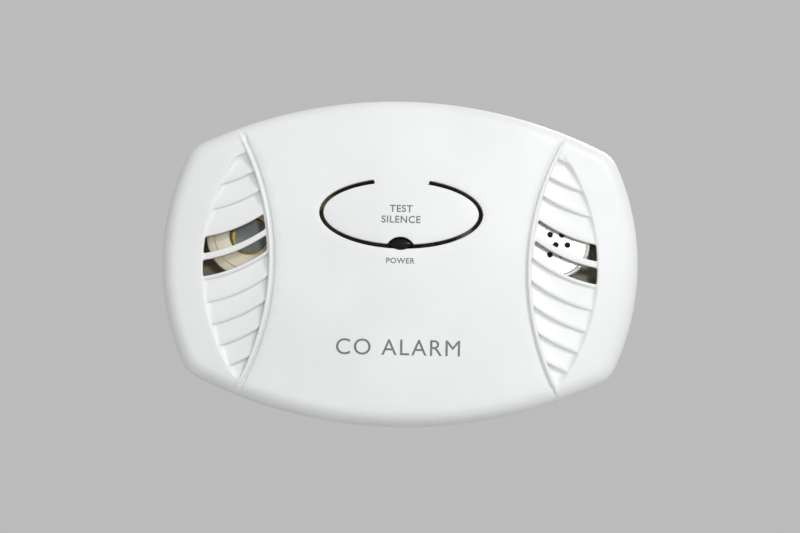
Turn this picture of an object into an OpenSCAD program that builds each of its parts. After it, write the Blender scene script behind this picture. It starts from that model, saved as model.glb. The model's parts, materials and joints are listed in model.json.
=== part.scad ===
// Plug-in carbon monoxide alarm with a nine-volt backup battery.
// The wall is the plane y = 0, the face looks along -Y, +Z is up, and the origin is the centre of the back.

/* [Housing] */
// Width across the two bowed sides
body_w = 132; // [128:1:138]
// Height at the middle of the housing
body_h = 90; // [88:1:96]
// Depth from the wall to the crown of the face
body_d = 38; // [37.5:0.5:42]
// Radius of the bowed top and bottom
long_edge_r = 130; // [126:1:150]
// Radius of the bowed sides
side_edge_r = 68; // [67:1:72]
// Radius of the four corners
corner_r = 9; // [7:0.5:11]
// Radius of the crown of the face
crown_r = 450; // [400:10:600]
// Thickness of the moulded walls
wall = 2; // [1.8:0.1:2.2]
// Depth of the rear cover, from the wall to the parting line
rear_d = 12; // [11.5:0.5:13]
// Step at the parting line, by which the rear cover is smaller
rear_inset = 0.8; // [0.4:0.1:1.2]

/* [Vents] */
// Height of one louvre opening
slot_h = 4.6; // [4:0.2:5.4]
// Distance from one louvre to the next
slot_pitch = 6.4; // [6:0.1:7]
// Radius of the louvres' upward sweep
slot_r = 41; // [38:1:45]
// Depth of the blind louvres
flute_depth = 0.8; // [0.4:0.1:1.2]
// Width of the raised rib along each vent
rib_w = 1; // [0.6:0.1:1.4]
// Height of that rib above the face
rib_h = 0.35; // [0.2:0.05:0.6]

/* [Test button] */
// Half the width of the oval gap line
oval_a = 22; // [20:0.5:23]
// Half the height of the oval gap line
oval_b = 9.2; // [8.6:0.2:9.6]
// Height of the oval's centre above the middle of the face
oval_z = 13.4; // [13:0.1:14]
// Width of the gap around the button
gap_w = 1.2; // [0.8:0.1:1.4]
// Width of the living hinge at the button's top
hinge_w = 15; // [12:1:18]
// Width of the indicator's window
window_w = 6; // [5:0.2:6.4]
// Height of the indicator's window
window_h = 2.9; // [2.4:0.1:3.1]

/* [Battery] */
// Length of the battery's jacket
battery_l = 46.4; // [46:0.1:46.6]
// Width of the battery
battery_w = 26.5; // [26:0.1:26.6]
// Thickness of the battery
battery_t = 17.5; // [17:0.1:17.5]
// Height of the battery's terminals
terminal_h = 2.1; // [1.8:0.1:2.2]
// Distance between the terminals
terminal_pitch = 12.7; // [12.5:0.1:12.9]

/* [Plug blades] */
// Length of the blades beyond the wall face
blade_l = 17; // [16:0.5:18]
// Thickness of the blades
blade_t = 1.5; // [1.4:0.05:1.6]
// Width of the line blade
line_blade_w = 6.35; // [6.2:0.05:6.5]
// Width of the wider, neutral blade
neutral_blade_w = 7.9; // [7.6:0.1:8.1]
// Distance between the blades' centres
blade_pitch = 12.7; // [12.6:0.1:12.8]
// Height of the blades above the middle of the back
blade_z = 14; // [13:0.5:15]

/* [Circuit board] */
// Thickness of the board
board_t = 1.6; // [1.2:0.1:1.6]
// Outer radius of the horn
horn_r = 12; // [11:0.5:12.5]
// Radius of the horn's mouth
horn_mouth_r = 5.8; // [5:0.2:6.4]
// Radius of the gas sensor's can
sensor_r = 9.5; // [8.5:0.5:10]

/* [Hidden] */
$fn = 48;
smooth = 180;
fit = 0.3;
parting_y = -rear_d;
crown_y = crown_r - body_d;
long_y = body_h / 2 - long_edge_r;
side_x = body_w / 2 - side_edge_r;

// Where the parts stand, from the front of the board to the back wall
board_y = -23.6;
board_back_y = board_y + board_t;
case_screws_at = [for (sx = [-1, 1], sz = [-1, 1]) [49 * sx, 28 * sz]];
board_screws_at = [[-24, 33], [24, 33], [-40.5, -24], [40.5, -24]];
holder_screws_at = [[-17, blade_z], [17, blade_z]];
case_boss_r = 4;
case_boss_end_y = parting_y - 2;
case_seat_y = -9;
board_boss_r = 3.2;
case_pilot_r = 1.5;
small_pilot_r = 1.2;
blade_tab_y = -14;
piezo_front_y = -28.6;
piezo_t = 0.2;
felt_t = 0.8;

// Depths for cutting: one clear in front of the face, and one just behind its wall
before_face_y = -body_d - 2;
behind_face_y = -30;

// The battery's compartment, as its inner corners
bay_low = [-28.6, -20.4, -37];
bay_high = [26, 0, -9.9];
bay_wall = 1.2;
battery_x = -28;
battery_y = -20.1;
battery_z = bay_low.z + (bay_high.z - bay_low.z - battery_w) / 2;
terminal_x = battery_x + battery_l;
terminal_y = battery_y + battery_t / 2;
terminal_z = battery_z + battery_w / 2;
plate_x = terminal_x + terminal_h + 0.5;
plate_t = 2;
end_board_t = 1;

// The battery door and its hinge
door_gap = 0.4;
door_x = (bay_low.x + bay_high.x) / 2;
door_w = bay_high.x - bay_low.x - 2 * door_gap;
door_barrel_r = 1.3;
door_hinge_y = -door_barrel_r;
door_hinge_z = -36.2;
door_pin_r = 0.8;
door_pin_l = 2.4;
door_top = bay_high.z - door_gap;

// The blank label on the back, in its own shallow pocket
label_at = [-36, 11];
label_size = [28, 22];
label_pocket = 0.3;

horn_at = [-42, 7];
sensor_at = [43, 6];
sensor_pin_l = 1;
sensor_front_y = board_y - sensor_pin_l - 6.8;
window_z = 5;
window_r = (pow(window_w / 2, 2) + pow(window_h / 2, 2)) / window_h;
switch_z = 12;
louvre_left = [1, -1];
louvre_left_r = 56;
louvre_rib = [-108.2, -1];
louvre_rib_r = 73;
louvre_sweep = [-61.1, 41.9];
louvre_inset = 0.5;

// Depth of the crowned face at a place on it
function face_y(at) = crown_y - sqrt(pow(crown_r, 2) - pow(at.x, 2) - pow(at.y, 2));

// One of the two crossings of circles about a and b
function crossing(a, ra, b, rb) =
    let (d = norm(b - a), u = (b - a) / d, along = (ra * ra - rb * rb + d * d) / (2 * d))
    a + along * u + sqrt(ra * ra - along * along) * [-u.y, u.x];

// A point on the smooth curve that controls pull, from 0 at its start to 1 at its end
function bezier(controls, t) = len(controls) == 1 ? controls[0]
    : bezier([for (i = [1:len(controls) - 1]) controls[i - 1] * (1 - t) + controls[i] * t], t);

// The corners of a ring about a point, square to the way that the wire runs there
function ring(at, way, r, sides) =
    let (u = cross(way, [1, 1, -1]), v = cross(way, u))
    [for (k = [0:sides - 1])
        at + r * (u / norm(u) * cos(k * 360 / sides) + v / norm(v) * sin(k * 360 / sides))];

// The centre of the top right corner's radius, inside both of the arcs that it joins
corner_at = crossing([side_x, 0], side_edge_r - corner_r, [0, long_y], long_edge_r - corner_r);

// ---- Shapes that the pieces share ----

// A flat shape in X and Z made solid from depth y0 to depth y1
module slab(y0, y1) {
    translate([0, y1, 0]) rotate([90, 0, 0]) linear_extrude(y1 - y0) children();
}

// A round rod along Y
module rod(at, y0, y1, r) {
    translate([at.x, y1, at.y]) rotate([90, 0, 0]) cylinder(h = y1 - y0, r = r);
}

module block(low, high) {
    translate(low) cube(high - low);
}

// The crown of the face as a ball, let into the face by depth
module crown(depth = 0) {
    translate([0, crown_y, 0]) sphere(r = crown_r - depth, $fn = smooth);
}

// A disc along Y whose edge follows section, a list of [inset, y]
module edge_disc(r, section) {
    rim = [for (s = section) [r - s[0], -s[1]]];
    rotate([90, 0, 0]) rotate_extrude($fn = smooth)
        polygon(concat([[0, -section[0][1]]], rim, [[0, -section[len(section) - 1][1]]]));
}

// The four wedges outside the corners' centres, between the ends of each corner's arc
module corner_wedges() {
    reach = 60;
    long_way = (corner_at - [0, long_y]) / norm(corner_at - [0, long_y]);
    side_way = (corner_at - [side_x, 0]) / norm(corner_at - [side_x, 0]);
    for (mx = [0, 1], mz = [0, 1]) mirror([mx, 0]) mirror([0, mz])
        polygon([corner_at, corner_at + reach * long_way,
                 corner_at + reach * (long_way + side_way), corner_at + reach * side_way]);
}

// The housing's bowed outline made solid, with its edge following section
module bowed_solid(section) {
    corner_lap = 0.15;
    intersection() {
        translate([0, 0, long_y]) edge_disc(long_edge_r, section);
        translate([0, 0, -long_y]) edge_disc(long_edge_r, section);
        translate([side_x, 0, 0]) edge_disc(side_edge_r, section);
        translate([-side_x, 0, 0]) edge_disc(side_edge_r, section);
        union() {
            difference() {
                slab(-body_d - 2, 2) square([body_w + 20, body_h + 20], center = true);
                slab(-body_d - 3, 3) corner_wedges();
            }
            for (mx = [-1, 1], mz = [-1, 1]) translate([mx * corner_at.x, 0, mz * corner_at.y])
                edge_disc(corner_r + corner_lap, section);
        }
    }
}

// The front cover's form, let in by inset all over
module front_form(inset = 0, y_end = parting_y) {
    // The round of the face's edge, from the straight side to the crown
    edge = [[0, -31.5], [1.2, -34.6], [5, -body_d - 0.6]];
    intersection() {
        bowed_solid(concat([[inset, y_end]], [for (e = edge) e + inset * [1, 1]]));
        crown(inset);
    }
}

// A thin band of the face, from depth to depth, under a flat shape
module face_skin(high, low) {
    intersection() {
        slab(before_face_y, behind_face_y) children();
        difference() {
            crown(-high);
            crown(low);
        }
    }
}

// The oval around the test button, grown by grow
module oval(grow = 0) {
    steps = 72;
    polygon([for (i = [0:steps - 1])
        [(oval_a + grow) * cos(i * 360 / steps), oval_z + (oval_b + grow) * sin(i * 360 / steps)]]);
}

// The strip above the oval's centre in which the button hangs on its hinge
module hinge_strip(w) {
    translate([-w / 2, oval_z]) square([w, 2 * oval_b]);
}

// The pointed oval of the indicator's window, grown by grow
module window_shape(grow = 0) {
    intersection() {
        translate([0, window_z + window_r - window_h / 2]) circle(r = window_r + grow);
        translate([0, window_z - window_r + window_h / 2]) circle(r = window_r + grow);
    }
}

// The lens-shaped vent on the left of the face, let in by inset
module vent_lens(inset = 0) {
    intersection() {
        translate(louvre_left) circle(r = louvre_left_r - inset, $fn = smooth);
        translate(louvre_rib) circle(r = louvre_rib_r - rib_w - inset, $fn = smooth);
    }
}

// The louvre that is k places above the upper opening
module louvre(k) {
    translate(louvre_sweep + [0, k * slot_pitch]) difference() {
        circle(r = slot_r, $fn = smooth);
        translate([0, slot_h]) circle(r = slot_r, $fn = smooth);
    }
}

module open_louvres() {
    intersection() {
        vent_lens(louvre_inset);
        for (k = [-1, 0]) louvre(k);
    }
}

module blind_louvres() {
    intersection() {
        vent_lens(louvre_inset);
        for (k = [-5, -4, -3, -2, 1, 2, 3]) louvre(k);
    }
}

// The raised rib between the vent and the middle of the face
module vent_rib(grow = 0) {
    translate(louvre_rib) difference() {
        circle(r = louvre_rib_r + grow, $fn = smooth);
        circle(r = louvre_rib_r - rib_w, $fn = smooth);
    }
}

// Both vents' shapes, from the left one
module both_sides() {
    children();
    mirror([1, 0]) children();
}

// A soft wire that bends smoothly along its controls, with flat ends
module wire(controls, r) {
    sides = 10;
    rings = 12;
    path = [for (i = [0:rings]) bezier(controls, i / rings)];
    rim = [for (i = [0:rings]) ring(path[i], path[min(i + 1, rings)] - path[max(i - 1, 0)], r, sides)];
    ends = [ring(controls[0], controls[1] - controls[0], r, sides),
            ring(controls[len(controls) - 1], controls[len(controls) - 1] - controls[len(controls) - 2],
                 r, sides)];
    points = concat(ends[0], [for (i = [1:rings - 1]) each rim[i]], ends[1]);
    skin = [for (i = [0:rings - 1], k = [0:sides - 1])
        let (a = i * sides + k, b = i * sides + (k + 1) % sides) [a, a + sides, b + sides, b]];
    polyhedron(points, concat(skin, [[for (k = [0:sides - 1]) k]],
        [[for (k = [sides - 1:-1:0]) rings * sides + k]]));
}

// A pan-head screw along Y, its head against the plane y_seat and its shank towards -Y
module pan_screw(at, y_seat, head_r, head_h, shank_r, shank_l) {
    cross_l = head_r * 1.1;
    cross_w = head_r * 0.24;
    difference() {
        union() {
            rod(at, y_seat, y_seat + head_h * 0.6, head_r);
            rod(at, y_seat + head_h * 0.6, y_seat + head_h, head_r * 0.8);
            rod(at, y_seat - shank_l, y_seat, shank_r);
        }
        for (s = [[cross_l, cross_w], [cross_w, cross_l]])
            slab(y_seat + head_h * 0.5, y_seat + head_h + 1)
                translate(at) square(s, center = true);
    }
}

// ---- Housing ----

module front_cover() color([0.93, 0.93, 0.92]) {
    rib_end_inset = 2.6;
    groove_w = 0.6;
    groove_depth = 0.5;
    case_pilot_end_y = -28;
    board_pilot_end_y = -31;
    difference() {
        union() {
            difference() {
                front_form();
                front_form(wall, parting_y + 1);
            }
            intersection() {
                face_skin(rib_h, 1) both_sides() vent_rib();
                bowed_solid([[rib_end_inset, behind_face_y], [rib_end_inset, before_face_y]]);
            }
            for (at = case_screws_at) rod(at, face_y(at) + wall / 2, case_boss_end_y, case_boss_r);
            for (at = board_screws_at) rod(at, face_y(at) + wall / 2, board_y, board_boss_r);
        }
        slab(before_face_y, behind_face_y) both_sides() open_louvres();
        face_skin(1, flute_depth) both_sides() blind_louvres();
        face_skin(1, groove_depth) both_sides() difference() {
            vent_rib(groove_w);
            vent_rib();
        }
        slab(before_face_y, behind_face_y) {
            oval();
            difference() {
                oval(gap_w / 2);
                hinge_strip(hinge_w);
            }
            window_shape(fit);
        }
        for (at = case_screws_at) rod(at, case_pilot_end_y, 0, case_pilot_r);
        for (at = board_screws_at) rod(at, board_pilot_end_y, 0, small_pilot_r);
    }
}

module rear_cover() color([0.9, 0.9, 0.89]) {
    edge_r = 1;
    root_y = -1;
    lip_in = wall + 0.25;
    lip_w = 1;
    lip_h = 2;
    case_boss_outer_r = 4.8;
    case_screw_hole_r = 1.7;
    seat_r = 3.4;
    holder_boss_r = 3;
    holder_boss_end_y = -8;
    ear_t = 1;
    ear_low = [-4.5, -38.6];
    ear_high = [root_y, -33.6];
    notch_low_y = -14;
    notch_high_y = -10;
    notch_half = 2;
    slot_fit = 0.3;
    pin_fit = 0.08;
    difference() {
        union() {
            difference() {
                bowed_solid([[rear_inset, parting_y], [rear_inset, -edge_r], [rear_inset + edge_r, 0]]);
                bowed_solid([[rear_inset + wall, parting_y - 1], [rear_inset + wall, -wall]]);
            }
            difference() {
                bowed_solid([[lip_in, parting_y - lip_h], [lip_in, parting_y + lip_h]]);
                bowed_solid([[lip_in + lip_w, parting_y - lip_h - 1],
                             [lip_in + lip_w, parting_y + lip_h + 1]]);
            }
            for (at = case_screws_at) rod(at, case_boss_end_y + 0.2, root_y, case_boss_outer_r);
            for (at = holder_screws_at) rod(at, holder_boss_end_y, root_y, holder_boss_r);
            block(bay_low - bay_wall * [1, 1, 1],
                  [bay_high.x + bay_wall, root_y, bay_high.z + bay_wall]);
            // The ears that hold the door's pins
            for (x = [bay_low.x - door_pin_l - ear_t, bay_high.x])
                block([x, ear_low[0], ear_low[1]], [x + door_pin_l + ear_t, ear_high[0], ear_high[1]]);
        }
        block(bay_low, bay_high + [0, 1, 0]);
        // The lead's notch in the end of the battery's bay
        block([bay_high.x - 1, notch_low_y, terminal_z - notch_half],
              [bay_high.x + bay_wall + 1, notch_high_y, terminal_z + notch_half]);
        for (at = case_screws_at) {
            rod(at, case_seat_y, 1, seat_r);
            rod(at, parting_y - lip_h - 1, 1, case_screw_hole_r);
        }
        for (at = holder_screws_at) rod(at, holder_boss_end_y - 1, -wall, small_pilot_r);
        for (blade = [[-1, neutral_blade_w], [1, line_blade_w]])
            slab(-wall - 1, 1) translate([blade[0] * blade_pitch / 2, blade_z])
                square([blade_t, blade[1]] + slot_fit * [1, 1], center = true);
        // The door's hinge barrel and pins
        hinge_rod(door_w + 2 * door_gap, door_barrel_r + fit);
        hinge_rod(door_w + 2 * door_gap + 2 * door_pin_l, door_pin_r + pin_fit);
        block([bay_low.x, door_hinge_y, door_hinge_z - door_barrel_r - fit],
              [bay_high.x, 1, door_hinge_z]);
        finger_hollow();
        block([label_at.x - label_size.x / 2, -label_pocket, label_at.y - label_size.y / 2],
              [label_at.x + label_size.x / 2, 1, label_at.y + label_size.y / 2]);
    }
}

// A rod of length l along the battery door's hinge
module hinge_rod(l, r) {
    translate([door_x - l / 2, door_hinge_y, door_hinge_z]) rotate([0, 90, 0]) cylinder(h = l, r = r);
}

// The hollow for a fingertip at the top of the battery door
module finger_hollow() {
    ball_r = 12.4;
    depth = 1.2;
    drop = 3.6;
    translate([door_x, ball_r - depth, door_top - drop]) sphere(r = ball_r, $fn = 96);
}

module battery_door() color([0.9, 0.9, 0.89]) {
    snap_l = 10;
    snap_r = 0.5;
    snap_at = [-1.2, door_top - 0.3];
    difference() {
        union() {
            block([door_x - door_w / 2, -wall, door_hinge_z + door_barrel_r - 0.5],
                  [door_x + door_w / 2, 0, door_top]);
            block([door_x - door_w / 2, door_hinge_y, door_hinge_z],
                  [door_x + door_w / 2, 0, door_hinge_z + door_barrel_r]);
            hinge_rod(door_w, door_barrel_r);
            hinge_rod(door_w + 2 * door_pin_l, door_pin_r);
            // The snap bump that holds the door shut
            translate([door_x - snap_l / 2, snap_at[0], snap_at[1]]) rotate([0, 90, 0])
                cylinder(h = snap_l, r = snap_r);
        }
        finger_hollow();
    }
}

module rating_label() color([0.82, 0.83, 0.84]) {
    margin = 0.5;
    size = label_size - 2 * margin * [1, 1];
    block([label_at.x - size.x / 2, -label_pocket, label_at.y - size.y / 2],
          [label_at.x + size.x / 2, -label_pocket / 2, label_at.y + size.y / 2]);
}

// ---- Test button and indicator ----

module test_button() color([0.93, 0.93, 0.92]) {
    post_end_y = -28.85;
    post_r = 2.2;
    post = [0, switch_z];
    web_end_y = -33.6;
    webs = [[16, 1], [1, 6]];
    window_fit = 0.45;
    difference() {
        union() {
            face_skin(0, wall) {
                oval(-gap_w / 2);
                intersection() {
                    oval(-fit);
                    hinge_strip(hinge_w - 2 * fit);
                }
            }
            rod(post, face_y(post) + wall / 2, post_end_y, post_r);
            for (web = webs) slab(face_y(post) + wall / 2, web_end_y)
                translate(post) square(web, center = true);
        }
        slab(before_face_y, behind_face_y) window_shape(window_fit);
    }
}

module led_lens() color([0.08, 0.08, 0.09]) {
    at = [0, window_z];
    collar_r = window_w / 2 + 0.15;
    collar_y = -29.6;
    bore_r = 1.9;
    bore_y = -28.9;
    difference() {
        union() {
            slab(face_y(at) + fit, collar_y + 0.2) window_shape();
            rod(at, collar_y, board_y, collar_r);
        }
        rod(at, bore_y, board_y + 1, bore_r);
    }
}

module status_led() color([0.75, 0.9, 0.75]) {
    at = [0, window_z];
    dome_y = board_y - 3.6;
    r = 1.5;
    rod(at, dome_y, board_y, r);
    translate([at.x, dome_y, at.y]) sphere(r = r);
}

module tact_switch_body() color([0.2, 0.2, 0.22]) {
    half = 3;
    height = 3.5;
    base_t = 0.8;
    difference() {
        block([-half, board_y - height, switch_z - half], [half, board_y, switch_z + half]);
        rod([0, switch_z], board_y - height - 0.5, board_y - base_t, 1.75);
    }
}

module tact_switch_plunger() color([0.75, 0.25, 0.2]) {
    cap_front_y = -28.7;
    rod([0, switch_z], cap_front_y, board_y - 1.3, 1.66);
}

// ---- Circuit board and what it carries in front ----

module main_circuit_board() color([0.5, 0.42, 0.24]) {
    edge = 4.5;
    screw_hole_r = 1.3;
    boss_clearance = 0.5;
    difference() {
        bowed_solid([[edge, board_back_y], [edge, board_y]]);
        for (at = case_screws_at)
            rod(at, board_y - 1, board_back_y + 1, case_boss_r + boss_clearance);
        for (at = board_screws_at) rod(at, board_y - 1, board_back_y + 1, screw_hole_r);
    }
}

module microcontroller() color([0.1, 0.1, 0.11]) {
    low = [13, board_y - 2, -13];
    size = [10, 1.6, 4];
    legs = 7;
    leg_pitch = 1.27;
    leg_size = [0.4, 1.1];
    first_leg = 1.2;
    leg_top = 0.7;
    block(low, low + size);
    for (i = [0:legs - 1], side = [-1, 1]) {
        leg_x = low.x + first_leg + i * leg_pitch;
        leg_z = low.z + size.z / 2 + side * (size.z + leg_size[1]) / 2;
        block([leg_x - leg_size[0] / 2, low.y + leg_top, leg_z - leg_size[1] / 2],
              [leg_x + leg_size[0] / 2, board_y, leg_z + leg_size[1] / 2]);
    }
}

module chip_resistors() color([0.15, 0.15, 0.17]) {
    half_l = 1;
    half_w = 0.6;
    height = 0.6;
    for (at = [[-14, -4], [-14, -7], [-10, -4], [-10, -7], [8, -6], [8, -9], [28, -8], [28, -12]])
        block([at.x - half_l, board_y - height, at.y - half_w], [at.x + half_l, board_y, at.y + half_w]);
}

module horn_housing() color([0.86, 0.82, 0.7]) {
    front_y = -31.6;
    chamber_y = -30.2;
    horn_wall = 1.3;
    difference() {
        rod(horn_at, front_y, board_y, horn_r);
        rod(horn_at, chamber_y, board_y + 1, horn_r - horn_wall);
        rod(horn_at, front_y - 1, chamber_y + 1, horn_mouth_r);
    }
}

module piezo_plate() color([0.66, 0.55, 0.28]) {
    rod(horn_at, piezo_front_y, piezo_front_y + piezo_t, horn_r - 1.4);
}

module piezo_ceramic() color([0.55, 0.6, 0.66]) {
    rod(horn_at, piezo_front_y - piezo_t, piezo_front_y, 7);
}

module horn_coil() color([0.15, 0.14, 0.14]) {
    at = [-21, -14];
    flange_r = 4.2;
    flange_t = 1;
    winding_r = 3.4;
    coil_h = 7;
    rod(at, board_y - flange_t, board_y, flange_r);
    rod(at, board_y - coil_h + flange_t, board_y - flange_t, winding_r);
    rod(at, board_y - coil_h, board_y - coil_h + flange_t, flange_r);
}

module sensor_can() color([0.9, 0.9, 0.88]) {
    rim_w = 3;
    difference() {
        rod(sensor_at, sensor_front_y, board_y - sensor_pin_l, sensor_r);
        rod(sensor_at, sensor_front_y - 1, sensor_front_y + felt_t, sensor_r - rim_w);
    }
}

module sensor_filter() color([0.1, 0.1, 0.1]) {
    felt_inset = 3.2;
    rod(sensor_at, sensor_front_y, sensor_front_y + felt_t, sensor_r - felt_inset);
}

module sensor_cap() color([0.7, 0.71, 0.72]) {
    cap_t = 0.8;
    cap_inset = 0.3;
    hole_r = 0.8;
    holes = 6;
    hole_circle_r = 3.2;
    difference() {
        rod(sensor_at, sensor_front_y - cap_t, sensor_front_y, sensor_r - cap_inset);
        for (i = [0:holes - 1])
            rod(sensor_at + hole_circle_r * [cos(i * 360 / holes), sin(i * 360 / holes)],
                sensor_front_y - cap_t - 1, sensor_front_y + 1, hole_r);
        rod(sensor_at, sensor_front_y - cap_t - 1, sensor_front_y + 1, hole_r);
    }
}

module sensor_pins() color([0.8, 0.75, 0.5]) {
    pins = 3;
    pin_r = 0.6;
    pin_circle_r = 6;
    for (i = [0:pins - 1]) {
        turn = 90 + i * 360 / pins;
        rod(sensor_at + pin_circle_r * [cos(turn), sin(turn)], board_y - sensor_pin_l, board_y, pin_r);
    }
}

// ---- Mains side, behind the board ----

module film_capacitor() color([0.72, 0.62, 0.2]) {
    size = [18, 14, 8];
    block([-46, board_back_y, 4], [-46 + size.x, board_back_y + size.y, 4 + size.z]);
}

module reservoir_capacitors() color([0.12, 0.14, 0.3]) {
    // Where each stands, its radius and its height
    for (can = [[[34, 20], 5, 14], [[44, 8], 4, 12.5]])
        rod(can[0], board_back_y, board_back_y + can[2], can[1]);
}

module rectifier_diodes() color([0.12, 0.12, 0.12]) {
    body_l = 5.2;
    body_r = 1.35;
    lead_r = 0.35;
    lead_out = 1.5;
    stand = 1.6;
    for (i = [0:3]) {
        at = [12 + 5 * i, board_back_y + stand, -5];
        translate(at) cylinder(h = body_l, r = body_r);
        translate(at - [0, 0, lead_out]) cylinder(h = body_l + 2 * lead_out, r = lead_r, $fn = 16);
        for (dz = [-lead_out, body_l + lead_out])
            rod([at.x, at.z + dz], board_back_y, at.y + lead_r, lead_r);
    }
}

module surge_varistor() color([0.25, 0.4, 0.7]) {
    at = [-22, board_back_y + 6.6, 27];
    disc_r = 5;
    disc_t = 4;
    lead_r = 0.4;
    lead_at = [1, 3];
    translate(at - [disc_t / 2, 0, 0]) rotate([0, 90, 0]) cylinder(h = disc_t, r = disc_r);
    for (s = [-1, 1]) rod([at.x, at.z] + s * lead_at, board_back_y, at.y, lead_r);
}

module fusible_resistor() color([0.35, 0.5, 0.4]) {
    at = [-2, board_back_y + 2.4, 33];
    body_l = 9;
    body_r = 1.8;
    lead_r = 0.4;
    lead_out = 2;
    reach = body_l / 2 + lead_out;
    translate(at - [body_l / 2, 0, 0]) rotate([0, 90, 0]) cylinder(h = body_l, r = body_r);
    translate(at - [reach, 0, 0]) rotate([0, 90, 0]) cylinder(h = 2 * reach, r = lead_r, $fn = 16);
    for (dx = [-reach, reach]) rod([at.x + dx, at.z], board_back_y, at.y + lead_r, lead_r);
}

module blade_holder() color([0.88, 0.87, 0.84]) {
    body = [26, 8, 14];
    flange = [41, 2, 7];
    screw_hole_r = 1.4;
    front_y = -wall - body.y;
    difference() {
        union() {
            block([-body.x / 2, front_y, blade_z - body.z / 2], [body.x / 2, -wall, blade_z + body.z / 2]);
            block([-flange.x / 2, front_y, blade_z - flange.z / 2],
                  [flange.x / 2, front_y + flange.y, blade_z + flange.z / 2]);
        }
        blade_bar(-1, neutral_blade_w);
        blade_bar(1, line_blade_w);
        for (at = holder_screws_at) rod(at, front_y - 2, 0, screw_hole_r);
    }
}

// One blade's straight bar, from its solder tab inside to its tip
module blade_bar(side, w) {
    x = side * blade_pitch / 2;
    block([x - blade_t / 2, blade_tab_y, blade_z - w / 2], [x + blade_t / 2, blade_l, blade_z + w / 2]);
}

module blade(side, w) {
    x = side * blade_pitch / 2;
    hole_y = 11.9;
    hole_r = 1.6;
    nose = 1.2;
    difference() {
        blade_bar(side, w);
        translate([x - blade_t, hole_y, blade_z]) rotate([0, 90, 0]) cylinder(h = 2 * blade_t, r = hole_r);
        // The nose is cut back at its two corners
        for (s = [-1, 1]) translate([x, blade_l, blade_z + s * w / 2]) rotate([45, 0, 0])
            cube([3 * blade_t, 2 * nose, 2 * nose], center = true);
    }
}

module line_blade() color([0.8, 0.74, 0.5]) blade(1, line_blade_w);

module neutral_blade() color([0.8, 0.74, 0.5]) blade(-1, neutral_blade_w);

module line_lead() color([0.1, 0.1, 0.1]) mains_lead();

module neutral_lead() color([0.92, 0.92, 0.9]) mirror([1, 0, 0]) mains_lead();

// The lead from the line blade's tab to the board
module mains_lead() {
    lead_r = 1.1;
    pad = [15, 20];
    wire([[blade_pitch / 2, blade_tab_y, blade_z], [blade_pitch / 2, blade_tab_y - 6, blade_z],
          [pad.x - 2, blade_tab_y + 1, pad.y], [pad.x, board_back_y + 4, pad.y],
          [pad.x, board_back_y, pad.y]], lead_r);
}

// ---- Battery and its contacts ----

module battery_jacket() color([0.2, 0.24, 0.32]) {
    round_r = 2;
    translate([battery_x, battery_y, battery_z]) rotate([0, 90, 0]) mirror([1, 0, 0])
        linear_extrude(battery_l - end_board_t) difference() {
            square([battery_w, battery_t]);
            for (mx = [0, 1], my = [0, 1])
                translate([mx * battery_w, my * battery_t]) mirror([mx, 0]) mirror([0, my])
                    difference() {
                        translate([-1, -1]) square(round_r + 1);
                        translate([round_r, round_r]) circle(r = round_r);
                    }
        }
}

module battery_end_board() color([0.12, 0.12, 0.12]) {
    margin = 1;
    block([terminal_x - end_board_t, battery_y + margin, battery_z + margin],
          [terminal_x, battery_y + battery_t - margin, battery_z + battery_w - margin]);
}

module terminal(side, r, r_tip) {
    base_share = 0.4;
    cup_floor = 0.6;
    cup_wall = 0.8;
    translate([terminal_x, terminal_y, terminal_z + side * terminal_pitch / 2])
        rotate([0, 90, 0]) difference() {
            union() {
                cylinder(h = terminal_h * base_share, r = r);
                cylinder(h = terminal_h, r = r_tip);
            }
            translate([0, 0, cup_floor]) cylinder(h = terminal_h, r = r_tip - cup_wall);
        }
}

module battery_positive_terminal() color([0.8, 0.8, 0.8]) terminal(1, 3.4, 2.85);

module battery_negative_terminal() color([0.8, 0.8, 0.8]) terminal(-1, 4.6, 4);

module contact_plate() color([0.12, 0.12, 0.13]) {
    // Its foot stands clear of the door's hinge barrel
    foot_z = door_hinge_z + door_barrel_r + fit;
    back_gap = 0.6;
    block([plate_x, bay_low.y + fit, foot_z],
          [plate_x + plate_t, -wall - back_gap, bay_high.z - fit]);
}

module contact_springs() color([0.78, 0.77, 0.74]) {
    spring_t = 0.5;
    half = [3, 4.6];
    for (s = [-1, 1]) {
        z = terminal_z + s * terminal_pitch / 2;
        block([plate_x - spring_t, terminal_y - half[0], z - half[1]],
              [plate_x, terminal_y + half[0], z + half[1]]);
    }
}

module battery_lead_red() color([0.75, 0.12, 0.1]) battery_lead(1);

module battery_lead_black() color([0.1, 0.1, 0.1]) battery_lead(-1);

module battery_lead(side) {
    // The two run side by side, one above the other at the plate and one beside the other at the board
    lead_r = 0.7;
    z = terminal_z + side;
    x = 33 - 1.5 * side;
    y = -12;
    pad_z = -12;
    start_x = plate_x + plate_t;
    wire([[start_x, y, z], [start_x + 6, y, z], [x, y, z], [x, y, pad_z],
          [x, board_back_y + 5, pad_z], [x, board_back_y, pad_z]], lead_r);
}

// ---- Fasteners ----

module case_screws() color([0.72, 0.72, 0.74]) {
    for (at = case_screws_at)
        pan_screw(at, case_seat_y, head_r = 2.9, head_h = 2.2, shank_r = 1.4, shank_l = 15);
}

module board_screws() color([0.72, 0.72, 0.74]) {
    for (at = board_screws_at)
        pan_screw(at, board_back_y, head_r = 2.4, head_h = 1.7, shank_r = 1.1, shank_l = 7);
}

// The blade holder's screws are driven from the front, towards the wall
module holder_screws() color([0.72, 0.72, 0.74]) {
    for (at = holder_screws_at) translate([0, -10, 0]) mirror([0, 1, 0])
        pan_screw(at, 0, head_r = 2.4, head_h = 1.7, shank_r = 1.1, shank_l = 6);
}

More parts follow.
